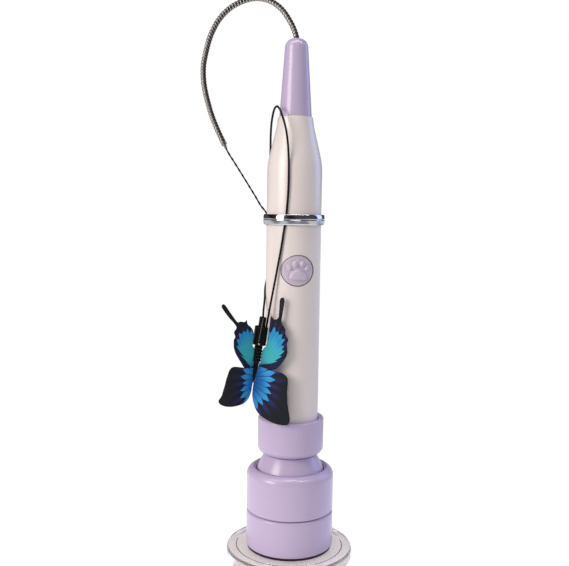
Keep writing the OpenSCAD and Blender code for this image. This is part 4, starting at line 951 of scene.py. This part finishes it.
def wing(name, outline, root, placed, behind, fan_from, fan_to, rays, body_side):
    """A film cut to outline; its fan of rays spans fan_from to fan_to, in degrees.

    Edges nearer the axis than body_side, in mm, face the body and carry only a thin margin.
    """
    edge = smooth_line(outline, OUTLINE_STEPS, closed=True)
    for span_from, span_to, least in ROOM_BESIDE_BODY:
        near = (edge[:, 1] > span_from) & (edge[:, 1] <= span_to) & (behind or least < HIND_ROOT)
        edge[:, 0] = np.where(near, np.maximum(edge[:, 0], least), edge[:, 0])
    low, high = edge.min(axis=0), edge.max(axis=0)
    rows = enumerate(np.arange(low[1], high[1], GRID_MM))
    columns = np.arange(low[0], high[0], GRID_MM)
    grid = np.array([(x + (0.5 * GRID_MM if j % 2 else 0), y) for j, y in rows for x in columns])
    grid = grid[edge_distance(grid, edge) > GRID_CLEAR * GRID_MM]
    count = len(edge)
    border = [(i, (i + 1) % count) for i in range(count)]
    filled = geometry.delaunay_2d_cdt(
        [Vector(p) for p in np.concatenate([edge, grid])], border, [], 1, 1e-6
    )
    flat = np.array([tuple(p) for p in filled[0]])
    arm = flat - root
    reach = np.hypot(arm[:, 0], arm[:, 1])
    fan = (np.degrees(np.arctan2(arm[:, 1], arm[:, 0])) - fan_from) / (fan_to - fan_from)
    start, end = edge, np.roll(edge, -1, axis=0)
    inner = (np.maximum(start[:, 0], end[:, 0]) < body_side) & (edge[:, 1] > BODY_SIDE_FROM)
    inset = np.minimum(
        line_distance(flat, start[~inner], end[~inner]),
        line_distance(flat, start[inner], end[inner]) + BODY_SIDE_MM,
    )
    grown = np.clip((reach - RIPPLE_FROM_MM) / RIPPLE_OVER_MM, 0, 1)
    ripple = RIPPLE_MM * np.cos(2 * np.pi * fan * rays) * grown
    camber = CAMBER_MM * np.sin(np.pi * np.clip(flat[:, 0] / CAMBER_SPAN_MM, 0, 1))
    rise = (LAYER_MM if behind else 0) - camber + ripple
    points = [placed @ Vector((x * MM, y * MM, -d * MM)) for (x, d), y in zip(flat, rise)]
    film = add_mesh(name, points, [tuple(f) for f in filled[2]])
    for label, values in (("reach_mm", reach), ("fan", fan), ("inset_mm", inset)):
        film.data.attributes.new(label, "FLOAT", "POINT").data.foreach_set("value", values.astype(np.float32))
    thick = film.modifiers.new("film", "SOLIDIFY")
    thick.thickness, thick.offset = FILM_MM * MM, 0
    return film


# %% [markdown]
# ## The print on the wings
# The print fans out from each root: bright rays with pointed ends on a dark ground, thin veins
# between them, and on the hind wings a wide scalloped margin. A picture would do this, but a
# formula stays sharp at any size. A saw-tooth across the fan gives each ray its point, a random
# number per ray its length, and the distance to the edge keeps the margin dark.

# %% Wing print
# Sizes of the two noises in mm.
FINE_MM, WIDE_MM = 1.1, 7
# In parts of the fan: where the margin goes from its first width to its second.
MARGIN_TURN = (0.2, 0.55)
# In parts of a ray's width: the soft edges of a vein and of a streak.
VEIN_EDGE, STREAK_EDGE = (0.02, 0.12), (0.08, 0.3)
# Streaks come and go with the wide noise: between these values, and never below this share.
PATCH_EDGE, PATCH_LEAST = (0.35, 0.6), 0.25
# What chance adds: to a ray's point, to the tone along a ray and to a vein's least ink.
POINT_CHANCE, TONE_CHANCE, VEIN_CHANCE, VEIN_LEAST = 0.75, 0.3, 0.6, 0.3
# In mm: how far the fine noise frays a ray, its soft edge, and the gap between ray and streak.
FRAY_MM, RAY_EDGE_MM, STREAK_GAP_MM = 0.6, (0.15, 0.45), 1
FILM_IOR, FILM_ROUGHNESS, FILM_SHINE, FIBRE_STRENGTH, FIBRE_DEPTH_MM = 1.5, 0.45, 0.16, 0.3, 0.02


def printed_film(
    name, ray_stops, vein, streak, ground, rays, reach_mm, point_mm, margin_mm, lobe_mm, glow_mm
):
    """Printed film; reach_mm and margin_mm are given at both ends of the fan of rays."""
    finish = new_finish(name)
    tree = finish.node_tree
    fan, reach, inset = (
        add_node(tree, "ShaderNodeAttribute", {"attribute_name": label}).outputs["Fac"]
        for label in ("fan", "reach_mm", "inset_mm")
    )
    place = add_node(tree, "ShaderNodeTexCoord").outputs["Object"]
    fine, wide = (
        add_node(
            tree, "ShaderNodeTexNoise", {"Scale": per_mm(size), "Detail": 3}, {"Vector": place}
        ).outputs["Fac"]
        for size in (FINE_MM, WIDE_MM)
    )
    # Rays are counted across the fan; across is nought between two rays and a half on a ray's middle.
    counted = add_node(tree, "ShaderNodeMath", {"operation": "MULTIPLY", 1: rays}, {0: fan}).outputs[0]
    across = add_node(tree, "ShaderNodeMath", {"operation": "PINGPONG", 1: 0.5}, {0: counted}).outputs[0]
    number = add_node(tree, "ShaderNodeMath", {"operation": "FLOOR"}, {0: counted}).outputs[0]
    chance = add_node(
        tree, "ShaderNodeTexWhiteNoise", {"noise_dimensions": "1D"}, {"W": number}
    ).outputs["Value"]
    # Soft steps: what each follows, where it starts and ends, and what it gives there.
    base_reach, margin_wide, vein_line, streak_line, patches = (
        add_node(
            tree,
            "ShaderNodeMapRange",
            {
                "interpolation_type": "SMOOTHSTEP",
                "From Min": start,
                "From Max": end,
                "To Min": first,
                "To Max": last,
            },
            {"Value": value},
        ).outputs[0]
        for value, (start, end), (first, last) in (
            (fan, (0, 1), reach_mm),
            (fan, MARGIN_TURN, margin_mm),
            (across, VEIN_EDGE, (1, 0)),
            (across, STREAK_EDGE, (0, 1)),
            (wide, PATCH_EDGE, (PATCH_LEAST, 1)),
        )
    )
    # A ray ends in a point, further out on some rays, and keeps off the margin and its lobes.
    pointed = add_node(
        tree, "ShaderNodeMath", {"operation": "MULTIPLY_ADD", 1: 2 * point_mm}, {0: across, 2: base_reach}
    )
    length = add_node(
        tree,
        "ShaderNodeMath",
        {"operation": "MULTIPLY_ADD", 1: POINT_CHANCE * point_mm},
        {0: chance, 2: pointed.outputs[0]},
    )
    left_over = add_node(
        tree, "ShaderNodeMath", {"operation": "SUBTRACT"}, {0: length.outputs[0], 1: reach}
    ).outputs[0]
    margin = add_node(
        tree, "ShaderNodeMath", {"operation": "MULTIPLY_ADD", 1: -2 * lobe_mm}, {0: across, 2: margin_wide}
    )
    clear = add_node(tree, "ShaderNodeMath", {"operation": "SUBTRACT"}, {0: inset, 1: margin.outputs[0]})
    inside = add_node(tree, "ShaderNodeMath", {"operation": "MINIMUM"}, {0: left_over, 1: clear.outputs[0]})
    frayed = add_node(
        tree, "ShaderNodeMath", {"operation": "MULTIPLY_ADD", 1: FRAY_MM}, {0: fine, 2: inside.outputs[0]}
    ).outputs[0]
    ray_area, glow = (
        add_node(
            tree,
            "ShaderNodeMapRange",
            {"interpolation_type": "SMOOTHSTEP", "From Min": start, "From Max": end},
            {"Value": value},
        ).outputs[0]
        for value, (start, end) in ((frayed, RAY_EDGE_MM), (left_over, (-glow_mm, -STREAK_GAP_MM)))
    )
    # The ray's colour runs along it, with veins at its sides; streaks lie on the dark ground beyond it.
    share = add_node(
        tree, "ShaderNodeMath", {"operation": "MULTIPLY", 1: 1 / (max(reach_mm) + point_mm)}, {0: reach}
    )
    tone = add_node(
        tree, "ShaderNodeMath", {"operation": "MULTIPLY_ADD", 1: TONE_CHANCE}, {0: wide, 2: share.outputs[0]}
    )
    tint = add_node(tree, "ShaderNodeValToRGB", {"stops": ray_stops}, {"Fac": tone.outputs[0]})
    ink = add_node(
        tree, "ShaderNodeMath", {"operation": "MULTIPLY_ADD", 1: VEIN_CHANCE, 2: VEIN_LEAST}, {0: chance}
    )
    inked = add_node(tree, "ShaderNodeMath", {"operation": "MULTIPLY"}, {0: vein_line, 1: ink.outputs[0]})
    ray = add_node(
        tree,
        "ShaderNodeMix",
        {"data_type": "RGBA", MIX_B: linear(vein)},
        {0: inked.outputs[0], MIX_A: tint.outputs["Color"]},
    )
    glowing = add_node(tree, "ShaderNodeMath", {"operation": "MULTIPLY"}, {0: glow, 1: streak_line})
    band = add_node(tree, "ShaderNodeMath", {"operation": "MULTIPLY"}, {0: glowing.outputs[0], 1: patches})
    under = add_node(
        tree,
        "ShaderNodeMix",
        {"data_type": "RGBA", MIX_A: linear(ground), MIX_B: linear(streak)},
        {0: band.outputs[0]},
    )
    printed = add_node(
        tree,
        "ShaderNodeMix",
        {"data_type": "RGBA"},
        {0: ray_area, MIX_A: under.outputs[MIX_OUT], MIX_B: ray.outputs[MIX_OUT]},
    )
    fibre = add_node(
        tree,
        "ShaderNodeBump",
        {"Strength": FIBRE_STRENGTH, "Distance": FIBRE_DEPTH_MM * MM},
        {"Height": fine},
    )
    shader = add_node(
        tree,
        "ShaderNodeBsdfPrincipled",
        {"IOR": FILM_IOR, "Roughness": FILM_ROUGHNESS, "Specular IOR Level": FILM_SHINE},
        {"Base Color": printed.outputs[MIX_OUT], "Normal": fibre.outputs["Normal"]},
    )
    add_node(tree, "ShaderNodeOutputMaterial", {}, {"Surface": shader.outputs["BSDF"]})
    return finish


# %% Printed wings
FORE_RAYS, HIND_RAYS = 9, 17
FORE_FAN, HIND_FAN = (-50, 60), (20, -100)
FORE_STOPS = [(0.5, "#1C62B0"), (0.8, "#2478C0"), (1.0, "#3A9CE0")]
HIND_STOPS = [(0.15, "#2C86C4"), (0.45, "#46C0C0"), (0.8, "#40B6CC"), (1.0, "#2C98D6")]
fore_print = printed_film(
    "blue_rayed_film", FORE_STOPS, "#123268", "#2C2B66", "#1B1D27", FORE_RAYS, reach_mm=(13.2, 13.8),
    point_mm=3.6, margin_mm=(-0.4, -0.4), lobe_mm=0.2, glow_mm=8,
)
hind_print = printed_film(
    "teal_rayed_film", HIND_STOPS, "#1F7EA8", "#1D2450", "#141422", HIND_RAYS, reach_mm=(19.5, 21),
    point_mm=1.6, margin_mm=(5.4, 3.2), lobe_mm=1.7, glow_mm=5,
)
films = {
    "left_hind": wing("left_hind_film", LEFT_HIND, (1.8, 13.2), at_left, True, *HIND_FAN, HIND_RAYS, 8),
    "right_hind": wing("right_hind_film", RIGHT_HIND, (1.8, 12.4), at_right, True, *HIND_FAN, HIND_RAYS, 5),
    "left_fore": wing("left_fore_film", LEFT_FORE, (-9, 20.5), at_left, False, *FORE_FAN, FORE_RAYS, 4),
    "right_fore": wing("right_fore_film", RIGHT_FORE, (-6, 20), at_right, False, *FORE_FAN, FORE_RAYS, 4),
}
for place_name, film in films.items():
    side, pair = place_name.split("_")
    finish = hind_print if pair == "hind" else fore_print
    dress(film, finish, side + "_wings", pair + "_wing_film", place_name + "_wing")

# %% [markdown]
# ## Body and clip
# The body is one moulded black piece, ribbed along the abdomen and drawn out to a fine head.
# The clip above it is a stepped barrel with a slot for the body's tab. Both are turned, then
# placed along the butterfly's leaning axis; the slot and the tab are cut and joined after.

# %% Body
ABDOMEN_R, RIBS, RIB_DEPTH, ABDOMEN_H, THORAX_R, BODY_LEN, BODY_TOP = 2.35, 5, 0.26, 9, 1.4, 22.5, -1.4
SWELL, WAIST_FILLET, THORAX_SWELL, HEAD_BEND, HEAD_POINT = 0.05, 0.5, 0.35, 2.2, 0.75
TAB_R, TAB_T, TAB_ROOT, TAB_TOP, BODY_STEPS, BODY_SIDES = 1.2, 0.9, 0.6, 1.0, 120, 48
BLOCK_FACES = [(0, 1, 3, 2), (4, 6, 7, 5), (0, 4, 5, 1), (2, 3, 7, 6), (0, 2, 6, 4), (1, 5, 7, 3)]


def body_r(down):
    """The body's radius at a distance below its top, in mm."""
    if down < ABDOMEN_H:
        t = down / ABDOMEN_H
        rib = RIB_DEPTH * (0.5 + 0.5 * math.cos(2 * math.pi * RIBS * t)) ** 2
        return (ABDOMEN_R - rib) * (1 - SWELL + SWELL * math.sin(math.pi * t))
    t = (down - ABDOMEN_H) / (BODY_LEN + BODY_TOP - ABDOMEN_H)
    waist = WAIST_FILLET * math.exp(-(((down - ABDOMEN_H) / WAIST_FILLET) ** 2))
    thorax = THORAX_R * (1 - SWELL + THORAX_SWELL * t * (1 - t))
    return thorax * max(0.0, 1 - t**HEAD_BEND) ** HEAD_POINT + waist


def block(name, low, high):
    """A plain block between two corners, in mm, to cut with or to join."""
    corners = [[(low, high)[(i >> k) & 1][k] * MM for k in range(3)] for i in range(8)]
    return add_mesh(name, corners, BLOCK_FACES)


def settle(piece, placed):
    """Moves a piece's points to their place and leaves the object at the origin."""
    piece.data.transform(placed)
    return piece


downs = np.linspace(0, BODY_LEN + BODY_TOP, BODY_STEPS)
body_profile = [(0, BODY_TOP)] + [(body_r(d), BODY_TOP - d) for d in downs[:-1]] + [(0, -BODY_LEN)]
body = lathe("ribbed_body", body_profile, sides=BODY_SIDES)
tab = block("tab", (-TAB_R, -TAB_T / 2, BODY_TOP - TAB_ROOT), (TAB_R, TAB_T / 2, TAB_TOP))
settle(cut_with(body, [tab], "UNION"), at_butterfly)
dress(body, black_rubber, "butterfly", "black_rubber", "butterfly_body")

# %% Clip, pin and strand
CLIP_R, COLLAR_R, CLIP_TOP, CLIP_STEP, CLIP_BASE = 3.75, 1.9, 14.4, 9.2, -0.9
CLIP_TAPER, CLIP_SIDES, SLOT_W, SLOT_TOP, SLOT_REACH, SLOT_OVER = 0.97, 64, 1.3, 1.7, 5, 1
PIN_R, PIN_PROUD, PIN_ROUND, PIN_SIDES, STRAND_R, STRAND_STEPS = 0.6, 0.15, 0.25, 32, 0.3, 8
clip_profile = rounded([
    (0, CLIP_BASE), (CLIP_R, CLIP_BASE, 0.25), (CLIP_TAPER * CLIP_R, CLIP_STEP, 0.6),
    (COLLAR_R, CLIP_STEP, 0.3), (COLLAR_R, CLIP_TOP, 0.35), (0, CLIP_TOP),
])
clip = lathe("wire_clip", clip_profile, sides=CLIP_SIDES)
slot = block("slot", (-SLOT_REACH, -SLOT_W / 2, CLIP_BASE - SLOT_OVER), (SLOT_REACH, SLOT_W / 2, SLOT_TOP))
settle(cut_with(clip, [slot]), at_butterfly)
dress(clip, black_rubber, "arm", "black_rubber", "clip")
pin_end = CLIP_R + PIN_PROUD
pin_profile = rounded([
    (0, -pin_end), (PIN_R, -pin_end, PIN_ROUND), (PIN_R, pin_end, PIN_ROUND), (0, pin_end),
])
pin = lathe("bright_pin", pin_profile, sides=PIN_SIDES)
settle(pin, at_butterfly @ Matrix.Rotation(math.pi / 2, 4, "X"))
dress(pin, chrome_plate, "arm", "zinc_steel", "clip_pin")
# Points in mm from the clip's pin: across, back and up.
STRAND_ROUTE = [
    (0.2, -COLLAR_R, CLIP_TOP - 0.4), (0.1, -COLLAR_R, CLIP_STEP + 1), (0, -CLIP_R + 0.1, CLIP_STEP - 0.7),
    (-0.2, -CLIP_R, 4.5), (-0.3, -CLIP_R - 0.1, 0.9),
]
strand_line = smooth_line(STRAND_ROUTE, STRAND_STEPS) * MM
strand = settle(swept_tube("clip_strand", strand_line, STRAND_R * MM, STRAND_R * MM), at_butterfly)
# Painted highlight: the strand's grey stands for the light along the black wire.
dress(strand, painted_highlight_grey, "arm", "black_coated_wire", "clip")

# %% [markdown]
# ## What the wires carry
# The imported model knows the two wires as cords, with a length, a start and whatever hangs on
# them. The line ends in its metal eye; the loop carries the clip and its pin.

# %% [markdown]
# ## Pieces that keep their solids
# Everything inside the toy, and the small turned metal pieces outside it, already has its true
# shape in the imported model. They keep it and only take a finish.

# %% Finishes of the kept nodes
KEPT = {
    zinc_steel: ["pull_stud", "base_screws", "stem_washer", "stem_screw", "cup_screws", "cells",
                 "board_screws", "motor", "gear_pin", "drive_shaft", "grub_screw", "line_eye"],
    spring_steel: ["end_ferrule"],
    lilac_abs: ["base_plate"],
    pearl_abs: ["end_cap"],
    natural_nylon: ["thrust_washer", "cell_carrier", "chassis", "switch_plunger", "gear_case", "gear_lid",
                    "compound_gear", "output_gear", "spindle"],
    contact_brass: ["bridge_contact", "top_contacts", "motor_pinion", "nose_bush"],
    board_laminate: ["circuit_board"],
    black_acetal: ["tact_switch"],
}
for finish, names in KEPT.items():
    for name in names:
        nodes[name].data.materials.clear()
        nodes[name].data.materials.append(finish)
print("kept nodes:", sum(len(names) for names in KEPT.values()))

# %% [markdown]
# ## The studio
# The photograph has a white sweep, a soft key light from the left and a cool glow from the
# right. The world gives a plain even light, and rays that come from the camera, from a mirror
# or through the clear pad see it as white. The floor is a pale sheet that fades out in a circle
# before it could show a horizon, and it keeps the toy's shadow. A round wall of folded cloth,
# grey below and dark above, is seen by mirrors only: without it the chrome would have nothing
# dark to show. A lit panel overhead draws the light lines on the rounded edges.

# %% World
AMBIENT = 0.48
world = bpy.data.worlds.new("studio")
bpy.context.scene.world = world
world.use_nodes = True
tree = world.node_tree
tree.nodes.clear()


def seen_directly(tree):
    """One where a ray comes from the camera, a mirror or clear plastic, and nought elsewhere."""
    path = add_node(tree, "ShaderNodeLightPath").outputs
    either = add_node(
        tree, "ShaderNodeMath", {"operation": "MAXIMUM"}, {0: path["Is Camera Ray"], 1: path["Is Glossy Ray"]}
    )
    return add_node(
        tree,
        "ShaderNodeMath",
        {"operation": "MAXIMUM"},
        {0: either.outputs[0], 1: path["Is Transmission Ray"]},
    ).outputs[0]


strength = add_node(
    tree, "ShaderNodeMapRange", {"To Min": AMBIENT, "To Max": 1.0}, {"Value": seen_directly(tree)}
)
sky = add_node(tree, "ShaderNodeBackground", {"Color": linear("#FFFFFF")}, {"Strength": strength.outputs[0]})
add_node(tree, "ShaderNodeOutputWorld", {}, {"Surface": sky.outputs[0]})
print("ambient light:", AMBIENT)

# %% Floor
FLOOR_DROP, FLOOR_SIDE, FADE_FROM, FADE_TO, FLOOR_GLOW = 0.0004, 2.4, 0.1, 0.35, 0.5
half = FLOOR_SIDE / 2
floor_corners = [(x * half, y * half, -FLOOR_DROP) for x, y in ((-1, -1), (1, -1), (1, 1), (-1, 1))]
floor = add_mesh("floor", floor_corners, [(0, 1, 2, 3)])
floor_paper = new_finish("white_paper_sweep")
tree = floor_paper.node_tree
place = add_node(tree, "ShaderNodeTexCoord").outputs["Object"]
away = add_node(tree, "ShaderNodeVectorMath", {"operation": "LENGTH"}, {0: place})
fade = add_node(
    tree,
    "ShaderNodeMapRange",
    {"From Min": FADE_FROM, "From Max": FADE_TO, "interpolation_type": "SMOOTHSTEP"},
    {"Value": away.outputs["Value"]},
)
paper = add_node(tree, "ShaderNodeBsdfDiffuse", {"Color": linear("#F4F4F4")})
lift = add_node(tree, "ShaderNodeMath", {"operation": "MULTIPLY", 1: FLOOR_GLOW}, {0: seen_directly(tree)})
glow = add_node(tree, "ShaderNodeEmission", {"Color": linear("#FFFFFF")}, {"Strength": lift.outputs[0]})
lit = add_node(tree, "ShaderNodeAddShader", {}, {0: paper.outputs[0], 1: glow.outputs[0]})
gone = add_node(tree, "ShaderNodeBsdfTransparent")
faded = add_node(tree, "ShaderNodeMixShader", {}, {0: fade.outputs[0], 1: lit.outputs[0], 2: gone.outputs[0]})
add_node(tree, "ShaderNodeOutputMaterial", {}, {"Surface": faded.outputs[0]})
floor.data.materials.append(floor_paper)
print("floor fades out at", FADE_TO, "m")

# %% Mirror wall
WALL_R, WALL_LOW, WALL_EDGE, WALL_HIGH, WALL_SIDES, FOLD_SCALE = 1.7, -0.8, 0.2, 1.9, 48, 0.7
wall_turns = [2 * math.pi * k / WALL_SIDES for k in range(WALL_SIDES)]
wall_corners = [
    (WALL_R * math.cos(a), WALL_R * math.sin(a), z) for z in (WALL_LOW, WALL_HIGH) for a in wall_turns
]
wall_faces = [
    (k, (k + 1) % WALL_SIDES, (k + 1) % WALL_SIDES + WALL_SIDES, k + WALL_SIDES) for k in range(WALL_SIDES)
]
wall = add_mesh("dark_wall", wall_corners, [*wall_faces, tuple(range(WALL_SIDES, 2 * WALL_SIDES))])
studio_cloth = new_finish("studio_cloth")
tree = studio_cloth.node_tree
place = add_node(tree, "ShaderNodeTexCoord").outputs["Object"]
height = add_node(tree, "ShaderNodeSeparateXYZ", {}, {0: place}).outputs["Z"]
above = add_node(tree, "ShaderNodeMath", {"operation": "GREATER_THAN", 1: WALL_EDGE}, {0: height})
folds = add_node(
    tree, "ShaderNodeTexNoise", {"Scale": FOLD_SCALE, "Detail": 0}, {"Vector": place}
).outputs["Fac"]
low, high = (
    add_node(
        tree, "ShaderNodeValToRGB", {"stops": [(0.4, dark), (0.6, light)]}, {"Fac": folds}
    ).outputs["Color"]
    for dark, light in (("#8E8D90", "#E2E1E2"), ("#1C1C20", "#4C4C52"))
)
shade = add_node(tree, "ShaderNodeMix", {"data_type": "RGBA"}, {0: above.outputs[0], MIX_A: low, MIX_B: high})
cloth = add_node(tree, "ShaderNodeEmission", {}, {"Color": shade.outputs[MIX_OUT]})
add_node(tree, "ShaderNodeOutputMaterial", {}, {"Surface": cloth.outputs[0]})
wall.data.materials.append(studio_cloth)

# %% Overhead panel
# A long white panel above the camera, seen in rounded edges only.
PANEL_AT, PANEL_HALF_W, PANEL_HALF_H, PANEL_GLOW = (0, -0.42, 1.35), 1.2, 0.1, 8
panel_turn = Vector(PANEL_AT).to_track_quat("Z", "Y").to_matrix().to_4x4()
panel_at = Matrix.Translation(PANEL_AT) @ panel_turn
panel = add_mesh("overhead_panel", [panel_at @ Vector((x * PANEL_HALF_W, y * PANEL_HALF_H, 0))
                                    for x, y in ((-1, -1), (1, -1), (1, 1), (-1, 1))], [(0, 1, 2, 3)])
panel_cloth = new_finish("lit_diffuser_cloth")
tree = panel_cloth.node_tree
shine = add_node(tree, "ShaderNodeEmission", {"Color": linear("#FFFFFF"), "Strength": PANEL_GLOW})
add_node(tree, "ShaderNodeOutputMaterial", {}, {"Surface": shine.outputs[0]})
panel.data.materials.append(panel_cloth)
for mirrored in (wall, panel):
    for name in ("camera", "diffuse", "shadow", "transmission", "volume_scatter"):
        setattr(mirrored, "visible_" + name, False)
print("stage:", [piece.name for piece in (floor, wall, panel)])

# %% Lamps
AIM = Vector((0, 0, 0.16))


def soft_box(name, at, wide, high, watts, colour):
    """A soft box that faces the toy."""
    lamp = bpy.data.lights.new(name, "AREA")
    lamp.shape, lamp.size, lamp.size_y = "RECTANGLE", wide, high
    lamp.energy, lamp.color = watts, linear(colour)[:3]
    box = bpy.data.objects.new(name, lamp)
    bpy.context.scene.collection.objects.link(box)
    box.location = at
    box.rotation_euler = (AIM - Vector(at)).to_track_quat("-Z", "Y").to_euler()
    return box


soft_box("key_left", (-0.85, -0.6, 0.5), 0.5, 0.55, 6.8, "#FFF8F2")
soft_box("cool_right", (0.85, 0.36, 0.55), 0.55, 0.7, 3.4, "#9CB3F5")
soft_box("top", (0.05, -0.15, 1.25), 0.4, 0.3, 1.7, "#FFFFFF")
print("lamps:", [lamp.name for lamp in bpy.data.lights])
